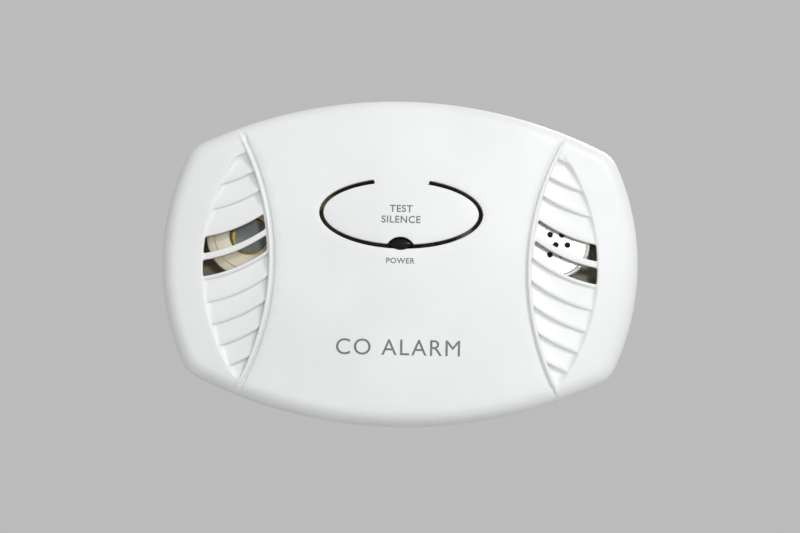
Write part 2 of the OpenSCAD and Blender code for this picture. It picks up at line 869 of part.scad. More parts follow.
front_cover();
rear_cover();
test_button();
battery_door();
led_lens();
status_led();
main_circuit_board();
tact_switch_body();
tact_switch_plunger();
microcontroller();
chip_resistors();
horn_housing();
piezo_plate();
piezo_ceramic();
horn_coil();
sensor_can();
sensor_cap();
sensor_filter();
sensor_pins();
film_capacitor();
reservoir_capacitors();
rectifier_diodes();
surge_varistor();
fusible_resistor();
blade_holder();
line_blade();
neutral_blade();
line_lead();
neutral_lead();
battery_jacket();
battery_end_board();
battery_positive_terminal();
battery_negative_terminal();
contact_plate();
contact_springs();
battery_lead_red();
battery_lead_black();
case_screws();
board_screws();
holder_screws();
rating_label();
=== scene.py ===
"""A plug-in carbon monoxide alarm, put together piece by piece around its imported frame.

Outlines are worked out in millimetres, with x to the right and z up on the alarm's face, and every mesh is
written in metres. The wall is the plane y = 0 and the face looks along -Y.
"""
import json
import math

import bmesh
import bpy
import numpy as np
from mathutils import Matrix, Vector
from mathutils.geometry import delaunay_2d_cdt


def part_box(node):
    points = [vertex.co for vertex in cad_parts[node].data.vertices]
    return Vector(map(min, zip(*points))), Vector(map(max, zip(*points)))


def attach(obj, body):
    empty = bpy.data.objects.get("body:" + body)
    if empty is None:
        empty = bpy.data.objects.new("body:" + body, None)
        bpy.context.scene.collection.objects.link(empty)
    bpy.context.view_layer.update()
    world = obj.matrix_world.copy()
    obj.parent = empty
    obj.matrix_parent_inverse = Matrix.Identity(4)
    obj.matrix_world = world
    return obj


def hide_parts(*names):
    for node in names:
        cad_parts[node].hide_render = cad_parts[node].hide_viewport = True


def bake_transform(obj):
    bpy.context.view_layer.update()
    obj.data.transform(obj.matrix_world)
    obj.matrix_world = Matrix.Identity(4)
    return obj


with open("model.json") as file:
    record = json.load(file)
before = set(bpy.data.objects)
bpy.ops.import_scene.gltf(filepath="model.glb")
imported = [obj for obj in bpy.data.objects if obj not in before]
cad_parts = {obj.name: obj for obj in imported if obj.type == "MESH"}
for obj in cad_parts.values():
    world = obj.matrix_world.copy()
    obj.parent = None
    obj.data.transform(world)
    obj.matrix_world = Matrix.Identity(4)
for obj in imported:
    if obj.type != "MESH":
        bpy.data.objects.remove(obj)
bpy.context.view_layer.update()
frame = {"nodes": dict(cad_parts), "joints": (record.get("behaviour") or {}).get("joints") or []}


# ---- Front cover -----------------------------------------------------------------------------------------
# The moulded shell that gives the alarm its look: off-white ABS with a satin, finely sparked surface, bowed
# sides, a crowned face, and a lens-shaped vent at each end. Four screws from behind hold it on.
MM = 0.001
COVER_HALF_W, COVER_HALF_H, COVER_DEPTH = 66.0, 45.0, 38.0
LONG_EDGE_R, SIDE_EDGE_R, CORNER_R, CROWN_R = 130.0, 68.0, 9.0, 450.0
LONG_EDGE_Z = COVER_HALF_H - LONG_EDGE_R
SIDE_EDGE_X = COVER_HALF_W - SIDE_EDGE_R
FACE_EDGE_R = 4.2
COVER_WALL = 2.0
FACE_WALL = 2.4
PARTING_Y = -12.0

LOUVRE_PITCH, LOUVRE_OPEN_H, LOUVRE_R = 6.4, 4.6, 41.0
LOUVRE_SWEEP = (-61.1, 41.9)
VENT_LEFT, VENT_LEFT_R = (1.0, -1.0), 56.0
VENT_RIB, VENT_RIB_R, VENT_RIB_W = (-108.2, -1.0), 72.0, 1.0
VENT_RIB_H, GROOVE_W, GROOVE_DEPTH = 0.35, 0.9, 0.9
OPEN_LOUVRES = (-1, 0)
# Across the vent's left edge: the distance in, and the depth there
VENT_CHAMFER = ((0.0, 0.0), (0.12, 0.02), (0.85, 0.42), (1.0, 0.45))
# Across one blind louvre, from its lower crest to the next: the share of the pitch, and of the depth
LOUVRE_SECTION = ((0.0, 0.0), (0.05, 0.08), (0.22, 0.34), (0.45, 0.68), (0.68, 0.95), (0.78, 1.0),
                  (0.82, 0.82), (0.86, 0.12), (0.90, 0.0), (1.0, 0.0))

OVAL_A, OVAL_B, OVAL_Z, GAP_W = 22.0, 9.2, 13.4, 1.2
HINGE_FROM, HINGE_TO = 70, 110
WINDOW_W, WINDOW_H, WINDOW_Z = 6.0, 2.9, 5.0
WINDOW_R = (WINDOW_W ** 2 + WINDOW_H ** 2) / (4 * WINDOW_H)


def meet(a, ra, b, rb):
    """The crossing of two circles that lies to the left of the way from a to b."""
    dx, dz = b[0] - a[0], b[1] - a[1]
    d = math.hypot(dx, dz)
    along = (ra * ra - rb * rb + d * d) / (2 * d)
    off = math.sqrt(ra * ra - along * along)
    return (a[0] + (along * dx - off * dz) / d, a[1] + (along * dz + off * dx) / d)


CORNER = meet((SIDE_EDGE_X, 0), SIDE_EDGE_R - CORNER_R, (0, LONG_EDGE_Z), LONG_EDGE_R - CORNER_R)


def arc(centre, r, start, end, steps):
    """Points along an arc, with its last point left to the next arc."""
    turns = [start + (end - start) * i / steps for i in range(steps)]
    return [(centre[0] + r * math.cos(t), centre[1] + r * math.sin(t)) for t in turns]


def outline(inset):
    """The bowed outline let in by inset, with the same number of points at every inset."""
    into_corner = math.atan2(CORNER[1], CORNER[0] - SIDE_EDGE_X)
    out_of_corner = math.atan2(CORNER[1] - LONG_EDGE_Z, CORNER[0])
    quarter = (arc((SIDE_EDGE_X, 0), SIDE_EDGE_R - inset, 0, into_corner, 18)
               + arc(CORNER, CORNER_R - inset, into_corner, out_of_corner, 12)
               + arc((0, LONG_EDGE_Z), LONG_EDGE_R - inset, out_of_corner, math.pi / 2, 96))
    top = (0.0, COVER_HALF_H - inset)
    right = quarter[0]
    upper = quarter + [top] + [(-x, z) for x, z in reversed(quarter[1:])]
    return upper + [(-right[0], 0.0)] + [(x, -z) for x, z in reversed(upper[1:])]


def let_in(x, z):
    """How far a place on the face lies inside the outline."""
    x, z = abs(x), abs(z)
    d = min(SIDE_EDGE_R - math.hypot(x - SIDE_EDGE_X, z), LONG_EDGE_R - math.hypot(x, z - LONG_EDGE_Z))
    corner_x, corner_z = x - CORNER[0], z - CORNER[1]
    if corner_x > 0 and corner_z > 0:
        d = min(d, CORNER_R - math.hypot(corner_x, corner_z))
    return d


def crown(x, z):
    """The face's bowed surface, before the vents sink into it."""
    return CROWN_R - COVER_DEPTH - math.sqrt(CROWN_R ** 2 - x * x - z * z)


def under_crown(depth):
    """The surface that follows the crown, set back by depth."""
    return lambda x, z: crown(x, z) + depth


def at_depth(y):
    """The flat surface at y."""
    return lambda x, z: y


def ease(t):
    t = min(max(t, 0.0), 1.0)
    return t * t * (3 - 2 * t)


def vent_place(x, z):
    """For the left vent: the distances in from its left edge and from its rib, and the louvre count."""
    from_left = VENT_LEFT_R - math.hypot(x - VENT_LEFT[0], z - VENT_LEFT[1])
    from_rib = VENT_RIB_R - math.hypot(x - VENT_RIB[0], z - VENT_RIB[1])
    count = (z - louvre_z(x, 0)) / LOUVRE_PITCH
    return from_left, from_rib, count


def louvre_z(x, count):
    """Height of a louvre's sweep at x."""
    sweep = math.sqrt(max(LOUVRE_R ** 2 - (x - LOUVRE_SWEEP[0]) ** 2, 0.0))
    return LOUVRE_SWEEP[1] - sweep + count * LOUVRE_PITCH


def relief(x, z):
    """How far the vents sink below the crown, or stand above it where negative."""
    x = -abs(x)
    if x > -30:
        return 0.0
    from_left, from_rib, count = vent_place(x, z)
    fade = ease(let_in(x, z) / FACE_EDGE_R)
    if from_left > 0 and from_rib > 0:
        room = ease((from_left + from_rib) / 5)
        sink = float(np.interp(from_left, *zip(*VENT_CHAMFER)))
        whole = math.floor(count)
        if whole not in OPEN_LOUVRES:
            part = count - whole
            depth = 0.5 + 0.8 * ease(1 - from_rib / 17)
            sink += depth * float(np.interp(part, *zip(*LOUVRE_SECTION))) * ease(from_left / 1.8)
        return sink * room * fade * ease(from_rib / 0.12)
    along_rib = -from_rib
    if from_left < -4 and from_rib > 0:
        return 0.0
    if 0 <= along_rib <= VENT_RIB_W:
        across = 2 * along_rib / VENT_RIB_W - 1
        return -VENT_RIB_H * math.sqrt(max(1 - across * across, 0.0)) * fade
    if VENT_RIB_W < along_rib < VENT_RIB_W + GROOVE_W:
        across = 2 * (along_rib - VENT_RIB_W) / GROOVE_W - 1
        return GROOVE_DEPTH * (1 - across * across) * fade
    return 0.0


def face_y(x, z):
    return crown(x, z) + relief(x, z)


def side_points(centre, r, start, end, steps):
    """Points along the short way round a circle from near start to near end, both ends kept."""
    a = math.atan2(start[1] - centre[1], start[0] - centre[0])
    b = math.atan2(end[1] - centre[1], end[0] - centre[0])
    b = a + math.remainder(b - a, 2 * math.pi)
    trim = 0.6 / r * (1 if b > a else -1)
    a, b = a + trim, b - trim
    return arc(centre, r, a, b, steps) + [(centre[0] + r * math.cos(b), centre[1] + r * math.sin(b))]


def louvre_loop(count, grow, mirrored):
    """The rim of an open louvre, grown by grow, as one loop with rounded corners."""
    low, low_r = (LOUVRE_SWEEP[0], LOUVRE_SWEEP[1] + count * LOUVRE_PITCH), LOUVRE_R + grow
    high, high_r = (low[0], low[1] + LOUVRE_OPEN_H), LOUVRE_R - grow
    left_r, right_r = VENT_LEFT_R - 0.5 + grow, VENT_RIB_R - 0.5 + grow
    corners = [meet(VENT_LEFT, left_r, low, low_r), meet(low, low_r, VENT_RIB, right_r),
               meet(high, high_r, VENT_RIB, right_r), meet(VENT_LEFT, left_r, high, high_r)]
    sides = [side_points(low, low_r, corners[0], corners[1], 26),
             side_points(VENT_RIB, right_r, corners[1], corners[2], 6),
             side_points(high, high_r, corners[2], corners[3], 26),
             side_points(VENT_LEFT, left_r, corners[3], corners[0], 6)]
    loop = []
    for i, side in enumerate(sides):
        loop += side
        a, b, c = side[-1], corners[(i + 1) % 4], sides[(i + 1) % 4][0]
        for t in (0.2, 0.4, 0.6, 0.8):
            loop.append(tuple((1 - t) ** 2 * a[n] + 2 * t * (1 - t) * b[n] + t * t * c[n] for n in (0, 1)))
    return [(-x, z) for x, z in loop] if mirrored else loop


def window_edge(x, grow, up):
    """Height of the indicator window's upper or lower edge at x, or None outside it."""
    r = WINDOW_R + grow
    if abs(x) >= r:
        return None
    centre = WINDOW_Z + (WINDOW_H / 2 - WINDOW_R) * (1 if up else -1)
    return centre + (math.sqrt(r * r - x * x)) * (1 if up else -1)


def oval_loop(grow, notch=None, round_in=0.0):
    """The oval around the button, one point a degree. The edge's rounding stops at the hinge."""
    loop = []
    for turn in range(360):
        clear = max(HINGE_FROM - turn, turn - HINGE_TO) if turn < 270 else 360 + HINGE_FROM - turn
        g = grow + round_in * ease(clear / 6)
        x, z = (OVAL_A + g) * math.cos(math.radians(turn)), (OVAL_B + g) * math.sin(math.radians(turn))
        z += OVAL_Z
        if notch is not None and z < OVAL_Z and abs(x) < 4:
            edge = window_edge(x, notch + abs(round_in * ease(clear / 6)), up=grow < 0)
            if edge is not None:
                z = max(z, edge) if grow < 0 else min(z, edge)
        loop.append((x, z))
    return loop


def ring_loop(centre, r, steps=40):
    return arc(centre, r, 0, 2 * math.pi, steps)


def lift(loop, height):
    """A flat loop as points in space, at the depth that height gives for each place."""
    return [(x, height(x, z), z) for x, z in loop]


def inside_loop(points, loop):
    """Which of the points lie inside a closed loop."""
    p, q = np.array(points), np.array(loop)
    nxt = np.roll(q, -1, axis=0)
    inside = np.zeros(len(p), bool)
    for (x0, z0), (x1, z1) in zip(q, nxt):
        crosses = (z0 > p[:, 1]) != (z1 > p[:, 1])
        with np.errstate(divide="ignore", invalid="ignore"):
            inside ^= crosses & (p[:, 0] < (x1 - x0) * (p[:, 1] - z0) / (z1 - z0) + x0)
    return inside


class Shell:
    """One closed mesh, put together from strips between loops and from flat-mapped faces."""

    def __init__(self):
        self.mesh = bmesh.new()

    def strip(self, a, b):
        """Quads between two closed loops with the same number of points."""
        rows = [[self.mesh.verts.new([c * MM for c in p]) for p in loop] for loop in (a, b)]
        for i in range(len(a)):
            k = (i + 1) % len(a)
            self.mesh.faces.new((rows[0][i], rows[0][k], rows[1][k], rows[1][i]))

    def strips(self, loops):
        for a, b in zip(loops, loops[1:]):
            self.strip(a, b)

    def skin(self, border, holes, lines, spots, height):
        """A face inside border and outside holes, lifted to height, that keeps to lines and spots."""
        points, edges = [], []
        for line, closed in [(loop, True) for loop in [border, *holes]] + [(line, False) for line in lines]:
            start = len(points)
            points += line
            edges += [(start + i, start + i + 1) for i in range(len(line) - 1)]
            if closed:
                edges.append((start + len(line) - 1, start))
        points += spots
        out = delaunay_2d_cdt([Vector(p) for p in points], edges, [], 0, 1e-5)
        flat, triangles = [tuple(p) for p in out[0]], out[2]
        middles = [tuple(sum(flat[i][n] for i in t) / 3 for n in (0, 1)) for t in triangles]
        keep = inside_loop(middles, border)
        for hole in holes:
            keep &= ~inside_loop(middles, hole)
        verts = [self.mesh.verts.new((x * MM, height(x, z) * MM, z * MM)) for x, z in flat]
        for t, kept in zip(triangles, keep):
            if kept:
                self.mesh.faces.new([verts[i] for i in t])
        bmesh.ops.delete(self.mesh, geom=[v for v in verts if not v.link_faces], context="VERTS")

    def finish(self, name, material, sharp=32):
        """Joins the seams, turns the faces outwards and makes the object."""
        bmesh.ops.remove_doubles(self.mesh, verts=self.mesh.verts, dist=2e-7)
        bmesh.ops.dissolve_degenerate(self.mesh, edges=self.mesh.edges, dist=1e-7)
        bmesh.ops.recalc_face_normals(self.mesh, faces=self.mesh.faces)
        mesh = bpy.data.meshes.new(name)
        self.mesh.to_mesh(mesh)
        self.mesh.free()
        mesh.materials.append(material)
        mesh.shade_smooth()
        mesh.set_sharp_from_angle(angle=math.radians(sharp))
        piece = bpy.data.objects.new(name, mesh)
        bpy.context.collection.objects.link(piece)
        return piece


def grown_from(colour, share):
    return tuple(min(c * share, 1.0) for c in colour[:3]) + (1.0,)


def moulded_plastic(name, colour, roughness, grain=0.00035, depth=0.00002, drift=0.03):
    """A moulded plastic: a spark-eroded grain in the bump, and a little drift in colour and gloss."""
    material = bpy.data.materials.new(name)
    material.use_nodes = True
    nodes, links = material.node_tree.nodes, material.node_tree.links
    shader = nodes["Principled BSDF"]
    place = nodes.new("ShaderNodeTexCoord")
    cloud = nodes.new("ShaderNodeTexNoise")
    cloud.inputs["Scale"].default_value = 45
    cloud.inputs["Detail"].default_value = 3
    tint = nodes.new("ShaderNodeValToRGB")
    tint.color_ramp.elements[0].position, tint.color_ramp.elements[1].position = 0.35, 0.65
    tint.color_ramp.elements[0].color = grown_from(colour, 1 - drift)
    tint.color_ramp.elements[1].color = grown_from(colour, 1 + drift / 2)
    sparks = nodes.new("ShaderNodeTexNoise")
    sparks.inputs["Scale"].default_value = 1 / grain
    sparks.inputs["Detail"].default_value = 2
    gloss = nodes.new("ShaderNodeMapRange")
    gloss.inputs["To Min"].default_value = roughness * 0.88
    gloss.inputs["To Max"].default_value = roughness * 1.12
    bump = nodes.new("ShaderNodeBump")
    bump.inputs["Strength"].default_value = 0.6
    bump.inputs["Distance"].default_value = depth
    links.new(place.outputs["Object"], cloud.inputs["Vector"])
    links.new(place.outputs["Object"], sparks.inputs["Vector"])
    links.new(cloud.outputs["Fac"], tint.inputs["Fac"])
    links.new(tint.outputs["Color"], shader.inputs["Base Color"])
    links.new(sparks.outputs["Fac"], gloss.inputs["Value"])
    links.new(gloss.outputs["Result"], shader.inputs["Roughness"])
    links.new(sparks.outputs["Fac"], bump.inputs["Height"])
    links.new(bump.outputs["Normal"], shader.inputs["Normal"])
    return material


white_abs = moulded_plastic("white_abs", (0.80, 0.81, 0.81), 0.42)


def vent_lines():
    """The creases of the left vent: its edge, its rib and groove, and each blind louvre's section."""
    lines = []
    reach = np.radians(np.linspace(-38, 38, 121))
    for into in (0.0, 0.06, 0.12, 0.5, 0.85, 0.92, 1.0, 1.4, 1.8):
        r = VENT_LEFT_R - into
        run = [(VENT_LEFT[0] - r * math.cos(t), VENT_LEFT[1] + r * math.sin(t)) for t in reach]
        lines.append([p for p in run if vent_place(*p)[1] > 0.16])
    for out in (-0.12, 0.0, 0.06, 0.2, 0.35, 0.5, 0.65, 0.8, 0.94,
                1.0, 1.1, 1.25, 1.42, 1.6, 1.75, 1.85, 2.2):
        r = VENT_RIB_R + out
        run = [(VENT_RIB[0] + r * math.cos(t), VENT_RIB[1] + r * math.sin(t)) for t in reach]
        run = [p for p in run if let_in(*p) > FACE_EDGE_R + 0.12]
        lines.append([p for p in run if out >= 0 or vent_place(*p)[0] > 0.04])
    for count in range(-7, 6):
        for share, _ in LOUVRE_SECTION[:-1]:
            if count in OPEN_LOUVRES or (count == max(OPEN_LOUVRES) + 1 and share == 0):
                continue
            run = [(x, louvre_z(x, count + share)) for x in np.linspace(-58, -34, 61)]
            places = [vent_place(*p) for p in run]
            inner = [p for p, place in zip(run, places) if place[0] > 0.06 and place[1] > 0.17]
            if len(inner) > 1:
                lines.append(inner)
    return [line for line in lines if len(line) > 1]


def plain_spots(spacing, margin, holes_clear):
    """Evenly spread places on the face, clear of its edge and of whatever holes_clear refuses."""
    spots = []
    rows = int(2 * COVER_HALF_H / (spacing * 0.866))
    for row in range(rows):
        z = (row - rows / 2) * spacing * 0.866
        for column in range(int(2 * COVER_HALF_W / spacing) + 1):
            x = (column + 0.5 * (row % 2)) * spacing - COVER_HALF_W
            if let_in(x, z) > margin and holes_clear(x, z):
                spots.append((x, z))
    return spots


def clear_of_openings(x, z):
    """Whether a place on the face keeps clear of the vents and of the oval gap."""
    from_left, from_rib, _ = vent_place(-abs(x), z)
    by_vent = from_left > -0.6 and from_rib > -2.8 or abs(from_rib + 1) < 1.8
    oval = math.hypot(x / (OVAL_A + 1.6), (z - OVAL_Z) / (OVAL_B + 1.6))
    return not by_vent and oval > 1


rim_round = 0.22
rim_steps = [(rim_round * (1 - math.sin(math.radians(a))), rim_round * (1 - math.cos(math.radians(a))))
             for a in (0, 30, 60, 90)]
cover = Shell()
louvres = [(k, mirrored) for k in OPEN_LOUVRES for mirrored in (False, True)]
outer_holes = [louvre_loop(k, rim_round, m) for k, m in louvres]
outer_holes.append(oval_loop(GAP_W / 2, notch=0.3, round_in=rim_round))
inner_holes = [louvre_loop(k, 0, m) for k, m in louvres] + [oval_loop(GAP_W / 2, notch=0.3)]
left_lines = vent_lines()
lines = left_lines + [[(-x, z) for x, z in line] for line in left_lines]
cover.skin(outline(FACE_EDGE_R), outer_holes, lines, plain_spots(2.2, FACE_EDGE_R + 0.8, clear_of_openings),
           face_y)

edge_turns = [math.radians(a) for a in range(0, 91, 10)]
outer_edge = [(FACE_EDGE_R * (1 - math.sin(t)), FACE_EDGE_R * (1 - math.cos(t))) for t in edge_turns]
loops = [lift(outline(inset), lambda x, z, drop=drop: face_y(x, z) + drop) for inset, drop in outer_edge]
for inset, y in ((0, -24), (0, -18), (0, -12.3), (0.09, -12.09), (0.3, PARTING_Y),
                 (COVER_WALL - 0.3, PARTING_Y), (COVER_WALL - 0.09, -12.09), (COVER_WALL, -12.3),
                 (COVER_WALL, -22)):
    loops.append(lift(outline(inset), at_depth(y)))
inner_edge_r = FACE_EDGE_R - 1.6
for t in reversed(edge_turns[::3]):
    inset, drop = COVER_WALL + inner_edge_r * (1 - math.sin(t)), inner_edge_r * (1 - math.cos(t))
    loops.append(lift(outline(inset), under_crown(FACE_WALL + drop)))
cover.strips(loops)
cover.skin(outline(COVER_WALL + inner_edge_r), inner_holes, [],
           plain_spots(5, COVER_WALL + inner_edge_r + 2, clear_of_openings), under_crown(FACE_WALL))
for k, mirrored in louvres:
    cover.strips([lift(louvre_loop(k, grow, mirrored), lambda x, z, drop=drop: face_y(x, z) + drop)
                  for grow, drop in rim_steps]
                 + [lift(louvre_loop(k, 0, mirrored), under_crown(FACE_WALL))])
cover.strips([lift(oval_loop(GAP_W / 2, 0.3, grow), under_crown(drop)) for grow, drop in rim_steps]
             + [lift(oval_loop(GAP_W / 2, 0.3), under_crown(FACE_WALL))])
case_screws_at = [(sx * 49, sz * 28) for sx in (-1, 1) for sz in (-1, 1)]
board_screws_at = [(-24, 33), (24, 33), (-40.5, -24), (40.5, -24)]
# A boss's outer radius, its bore's radius, the y of its end, and the y of its bore's floor
CASE_BOSS = (4.0, 1.5, -14.0, -28.0)
BOARD_BOSS = (3.2, 1.2, -23.6, -31.0)
bosses = [(at, *CASE_BOSS) for at in case_screws_at] + [(at, *BOARD_BOSS) for at in board_screws_at]
for at, boss_r, bore_r, end_y, bore_y in bosses:
    root_y = crown(*at) + FACE_WALL - 0.5
    section = ((bore_r, bore_y), (bore_r, end_y - 0.25), (bore_r + 0.25, end_y), (boss_r - 0.25, end_y),
               (boss_r, end_y - 0.25), (boss_r, root_y))
    cover.strips([lift(ring_loop(at, r), at_depth(y)) for r, y in section])
    for r, y in (section[0], section[-1]):
        cover.skin(ring_loop(at, r), [], [], [], at_depth(y))
front_cover = cover.finish("front_cover_shell", white_abs)
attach(front_cover, "root")
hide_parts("front_cover")


# ---- Test button -----------------------------------------------------------------------------------------
# A pad of the same moulding, cut free by the oval gap and hanging on a thin strip of plastic at its top. A
# post behind it presses the switch, and two crossed ribs keep the pad from bending round the post.
PAD_WALL, STRIP_WALL, POST_R = 2.0, 0.8, 2.2


def box_mm(node):
    """The two corners of a part's box, in millimetres."""
    return [[1000 * c for c in corner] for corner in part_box(node)]


def middle(node):
    """The centre of a part's box, in millimetres."""
    low, high = box_mm(node)
    return [(a + b) / 2 for a, b in zip(low, high)]


switch_z = middle("tact_switch_body")[2]
post_end_y = box_mm("test_button")[1][1]


def post_on(shell, centre, r, end_y, from_height):
    """A round post that stands on the back of a wall, with an eased end."""
    ease_r = 0.3
    rows = [lift(ring_loop(centre, r), from_height), lift(ring_loop(centre, r), at_depth(end_y - ease_r)),
            lift(ring_loop(centre, r - ease_r * 0.3), at_depth(end_y - ease_r * 0.3)),
            lift(ring_loop(centre, r - ease_r), at_depth(end_y))]
    shell.strips(rows)
    shell.skin(ring_loop(centre, r - ease_r), [], [], [], at_depth(end_y))
    shell.skin(ring_loop(centre, r), [], [], [], from_height)


def bar_on(shell, centre, size, end_y, from_height):
    """A rib that stands on the back of a wall."""
    x, z = size[0] / 2, size[1] / 2
    steps = [i / 8 for i in range(8)]
    corners = [(-x, -z), (x, -z), (x, z), (-x, z)]
    loop = []
    for (x0, z0), (x1, z1) in zip(corners, corners[1:] + corners[:1]):
        loop += [(centre[0] + x0 + (x1 - x0) * t, centre[1] + z0 + (z1 - z0) * t) for t in steps]
    shell.strip(lift(loop, from_height), lift(loop, at_depth(end_y)))
    shell.skin(loop, [], [], [], at_depth(end_y))
    shell.skin(loop, [], [], [], from_height)


pad = Shell()
pad_edge = oval_loop(-GAP_W / 2, 0.45)
pad.skin(oval_loop(-GAP_W / 2, 0.45, -rim_round), [], [],
         [(x, z) for x, z in plain_spots(2.2, 5, lambda x, z: True)
          if math.hypot(x / (OVAL_A - 2.6), (z - OVAL_Z) / (OVAL_B - 2.6)) < 1], crown)
pad.strips([lift(oval_loop(-GAP_W / 2, 0.45, -grow), under_crown(drop)) for grow, drop in rim_steps]
           + [lift(pad_edge, under_crown(PAD_WALL))])
pad.skin(pad_edge, [], [], [], under_crown(PAD_WALL))
inside_pad = under_crown(PAD_WALL / 2)
post_on(pad, (0, switch_z), POST_R, post_end_y, inside_pad)
bar_on(pad, (0, switch_z), (16, 1), -33.6, inside_pad)
bar_on(pad, (0, switch_z), (1, 6), -33.6, inside_pad)
test_button = pad.finish("test_button_pad", white_abs)
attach(test_button, "button")
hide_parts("test_button")

strip = Shell()
turns = range(HINGE_FROM, HINGE_TO + 1)
far, near = oval_loop(GAP_W / 2, 0.3), oval_loop(-GAP_W / 2, 0.45)
strip_edge = [far[t] for t in turns] + [near[t] for t in reversed(turns)]
strip_sides = (under_crown(0), under_crown(STRIP_WALL))
strip.strips([lift(strip_edge, side) for side in strip_sides])
for side in strip_sides:
    strip.skin(strip_edge, [], [], [], side)
hinge_strip = strip.finish("test_button_hinge_strip", white_abs)
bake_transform(hinge_strip)


# ---- Printed marks ---------------------------------------------------------------------------------------
# Plain grey pad-printed words on the moulding, a film of ink a few hundredths of a millimetre thick.
INK = 0.03


def printing_ink(name, colour):
    """A matt ink that thins out a little here and there."""
    material = bpy.data.materials.new(name)
    material.use_nodes = True
    nodes, links = material.node_tree.nodes, material.node_tree.links
    shader = nodes["Principled BSDF"]
    place = nodes.new("ShaderNodeTexCoord")
    patches = nodes.new("ShaderNodeTexNoise")
    patches.inputs["Scale"].default_value = 900
    patches.inputs["Detail"].default_value = 4
    tint = nodes.new("ShaderNodeValToRGB")
    tint.color_ramp.elements[0].position, tint.color_ramp.elements[1].position = 0.3, 0.75
    tint.color_ramp.elements[0].color = grown_from(colour, 0.9)
    tint.color_ramp.elements[1].color = grown_from(colour, 1.25)
    links.new(place.outputs["Object"], patches.inputs["Vector"])
    links.new(patches.outputs["Fac"], tint.inputs["Fac"])
    links.new(tint.outputs["Color"], shader.inputs["Base Color"])
    shader.inputs["Roughness"].default_value = 0.6
    return material


grey_ink = printing_ink("grey_ink", (0.16, 0.165, 0.17))


def printed(name, words, centre, height, body, spacing=1.0, bold=0.018):
    """Words printed on the crown, with capitals of a given height; bold thickens their strokes."""
    curve = bpy.data.curves.new(name, "FONT")
    curve.body = words
    curve.align_x, curve.align_y = "CENTER", "CENTER"
    curve.size = height / 0.7
    curve.space_character = spacing
    curve.extrude = 1
    curve.offset = bold * curve.size
    text = bpy.data.objects.new(name, curve)
    bpy.context.collection.objects.link(text)
    mesh = bpy.data.meshes.new_from_object(text.evaluated_get(bpy.context.evaluated_depsgraph_get()))
    bpy.data.objects.remove(text)
    for v in mesh.vertices:
        x, z = centre[0] + v.co.x, centre[1] + v.co.y
        v.co = (x * MM, (crown(x, z) + (-INK if v.co.z > 0 else 0.2)) * MM, z * MM)
    ink = bmesh.new()
    ink.from_mesh(mesh)
    bmesh.ops.remove_doubles(ink, verts=ink.verts, dist=1e-7)
    bmesh.ops.recalc_face_normals(ink, faces=ink.faces)
    ink.to_mesh(mesh)
    ink.free()
    mesh.materials.clear()
    mesh.materials.append(grey_ink)
    piece = bpy.data.objects.new(name, mesh)
    bpy.context.collection.objects.link(piece)
    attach(piece, body)


printed("print_on_button", "TEST", (0, 14.6), 1.9, "button", 1.1)
printed("print_on_button_below", "SILENCE", (0, 11.6), 1.9, "button", 1.1)
printed("print_under_indicator", "POWER", (0, 0.2), 1.5, "root", 1.1)
# The large line keeps the typeface's own strokes, because thicker ones run together inside its M
printed("print_on_face", "CO ALARM", (0, -23.8), 4.4, "root", 1.15, bold=0)


# ---- Indicator -------------------------------------------------------------------------------------------
# A pointed oval light guide of smoked acrylic that fills the window under the button, with its own domed
# front, and behind it the green LED that stands on the board. Each is pressed or soldered in place.
def smoked_acrylic(name, colour, roughness):
    """Nearly black acrylic with faint swirl marks in its polish."""
    material = moulded_plastic(name, colour, roughness, grain=0.0015, depth=0.000001, drift=0.2)
    shader = material.node_tree.nodes["Principled BSDF"]
    shader.inputs["Specular IOR Level"].default_value = 0.2
    shader.inputs["Coat Weight"].default_value = 0.05
    shader.inputs["Coat Roughness"].default_value = 0.06
    return material


def eased(name, node, width, material, body="root", limit=32, segments=2):
    """A copy of a part, merged, with its sharp edges rounded off by a width in millimetres."""
    work = bmesh.new()
    work.from_mesh(frame["nodes"][node].data)
    bmesh.ops.remove_doubles(work, verts=work.verts, dist=2e-6)
    bmesh.ops.dissolve_limit(work, angle_limit=math.radians(1.2), verts=work.verts, edges=work.edges)
    mesh = bpy.data.meshes.new(name)
    work.to_mesh(mesh)
    work.free()
    if "custom_normal" in mesh.attributes:
        mesh.attributes.remove(mesh.attributes["custom_normal"])
    mesh.materials.clear()
    mesh.materials.append(material)
    piece = bpy.data.objects.new(name, mesh)
    bpy.context.collection.objects.link(piece)
    if width:
        rounding = piece.modifiers.new("rounding", "BEVEL")
        rounding.width, rounding.segments = width * MM, segments
        rounding.limit_method, rounding.angle_limit = "ANGLE", math.radians(limit)
        rounding.harden_normals = False
        piece.data.shade_smooth()
        weigh = piece.modifiers.new("weigh", "WEIGHTED_NORMAL")
        weigh.keep_sharp = True
        made = bpy.data.meshes.new_from_object(piece.evaluated_get(bpy.context.evaluated_depsgraph_get()))
        piece.modifiers.clear()
        piece.data = made
    else:
        piece.data.shade_smooth()
        piece.data.set_sharp_from_angle(angle=math.radians(limit))
    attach(piece, body)
    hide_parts(node)
    return piece


def window_loop(grow):
    """The pointed oval of the indicator, grown by grow."""
    half = math.sqrt((WINDOW_R + grow) ** 2 - (WINDOW_R - WINDOW_H / 2) ** 2)
    xs = [half * math.cos(math.pi * i / 24) for i in range(24)]
    top = [(x, window_edge(x, grow, True) if abs(x) < half else WINDOW_Z) for x in xs]
    return top + [(-x, 2 * WINDOW_Z - z) for x, z in top]


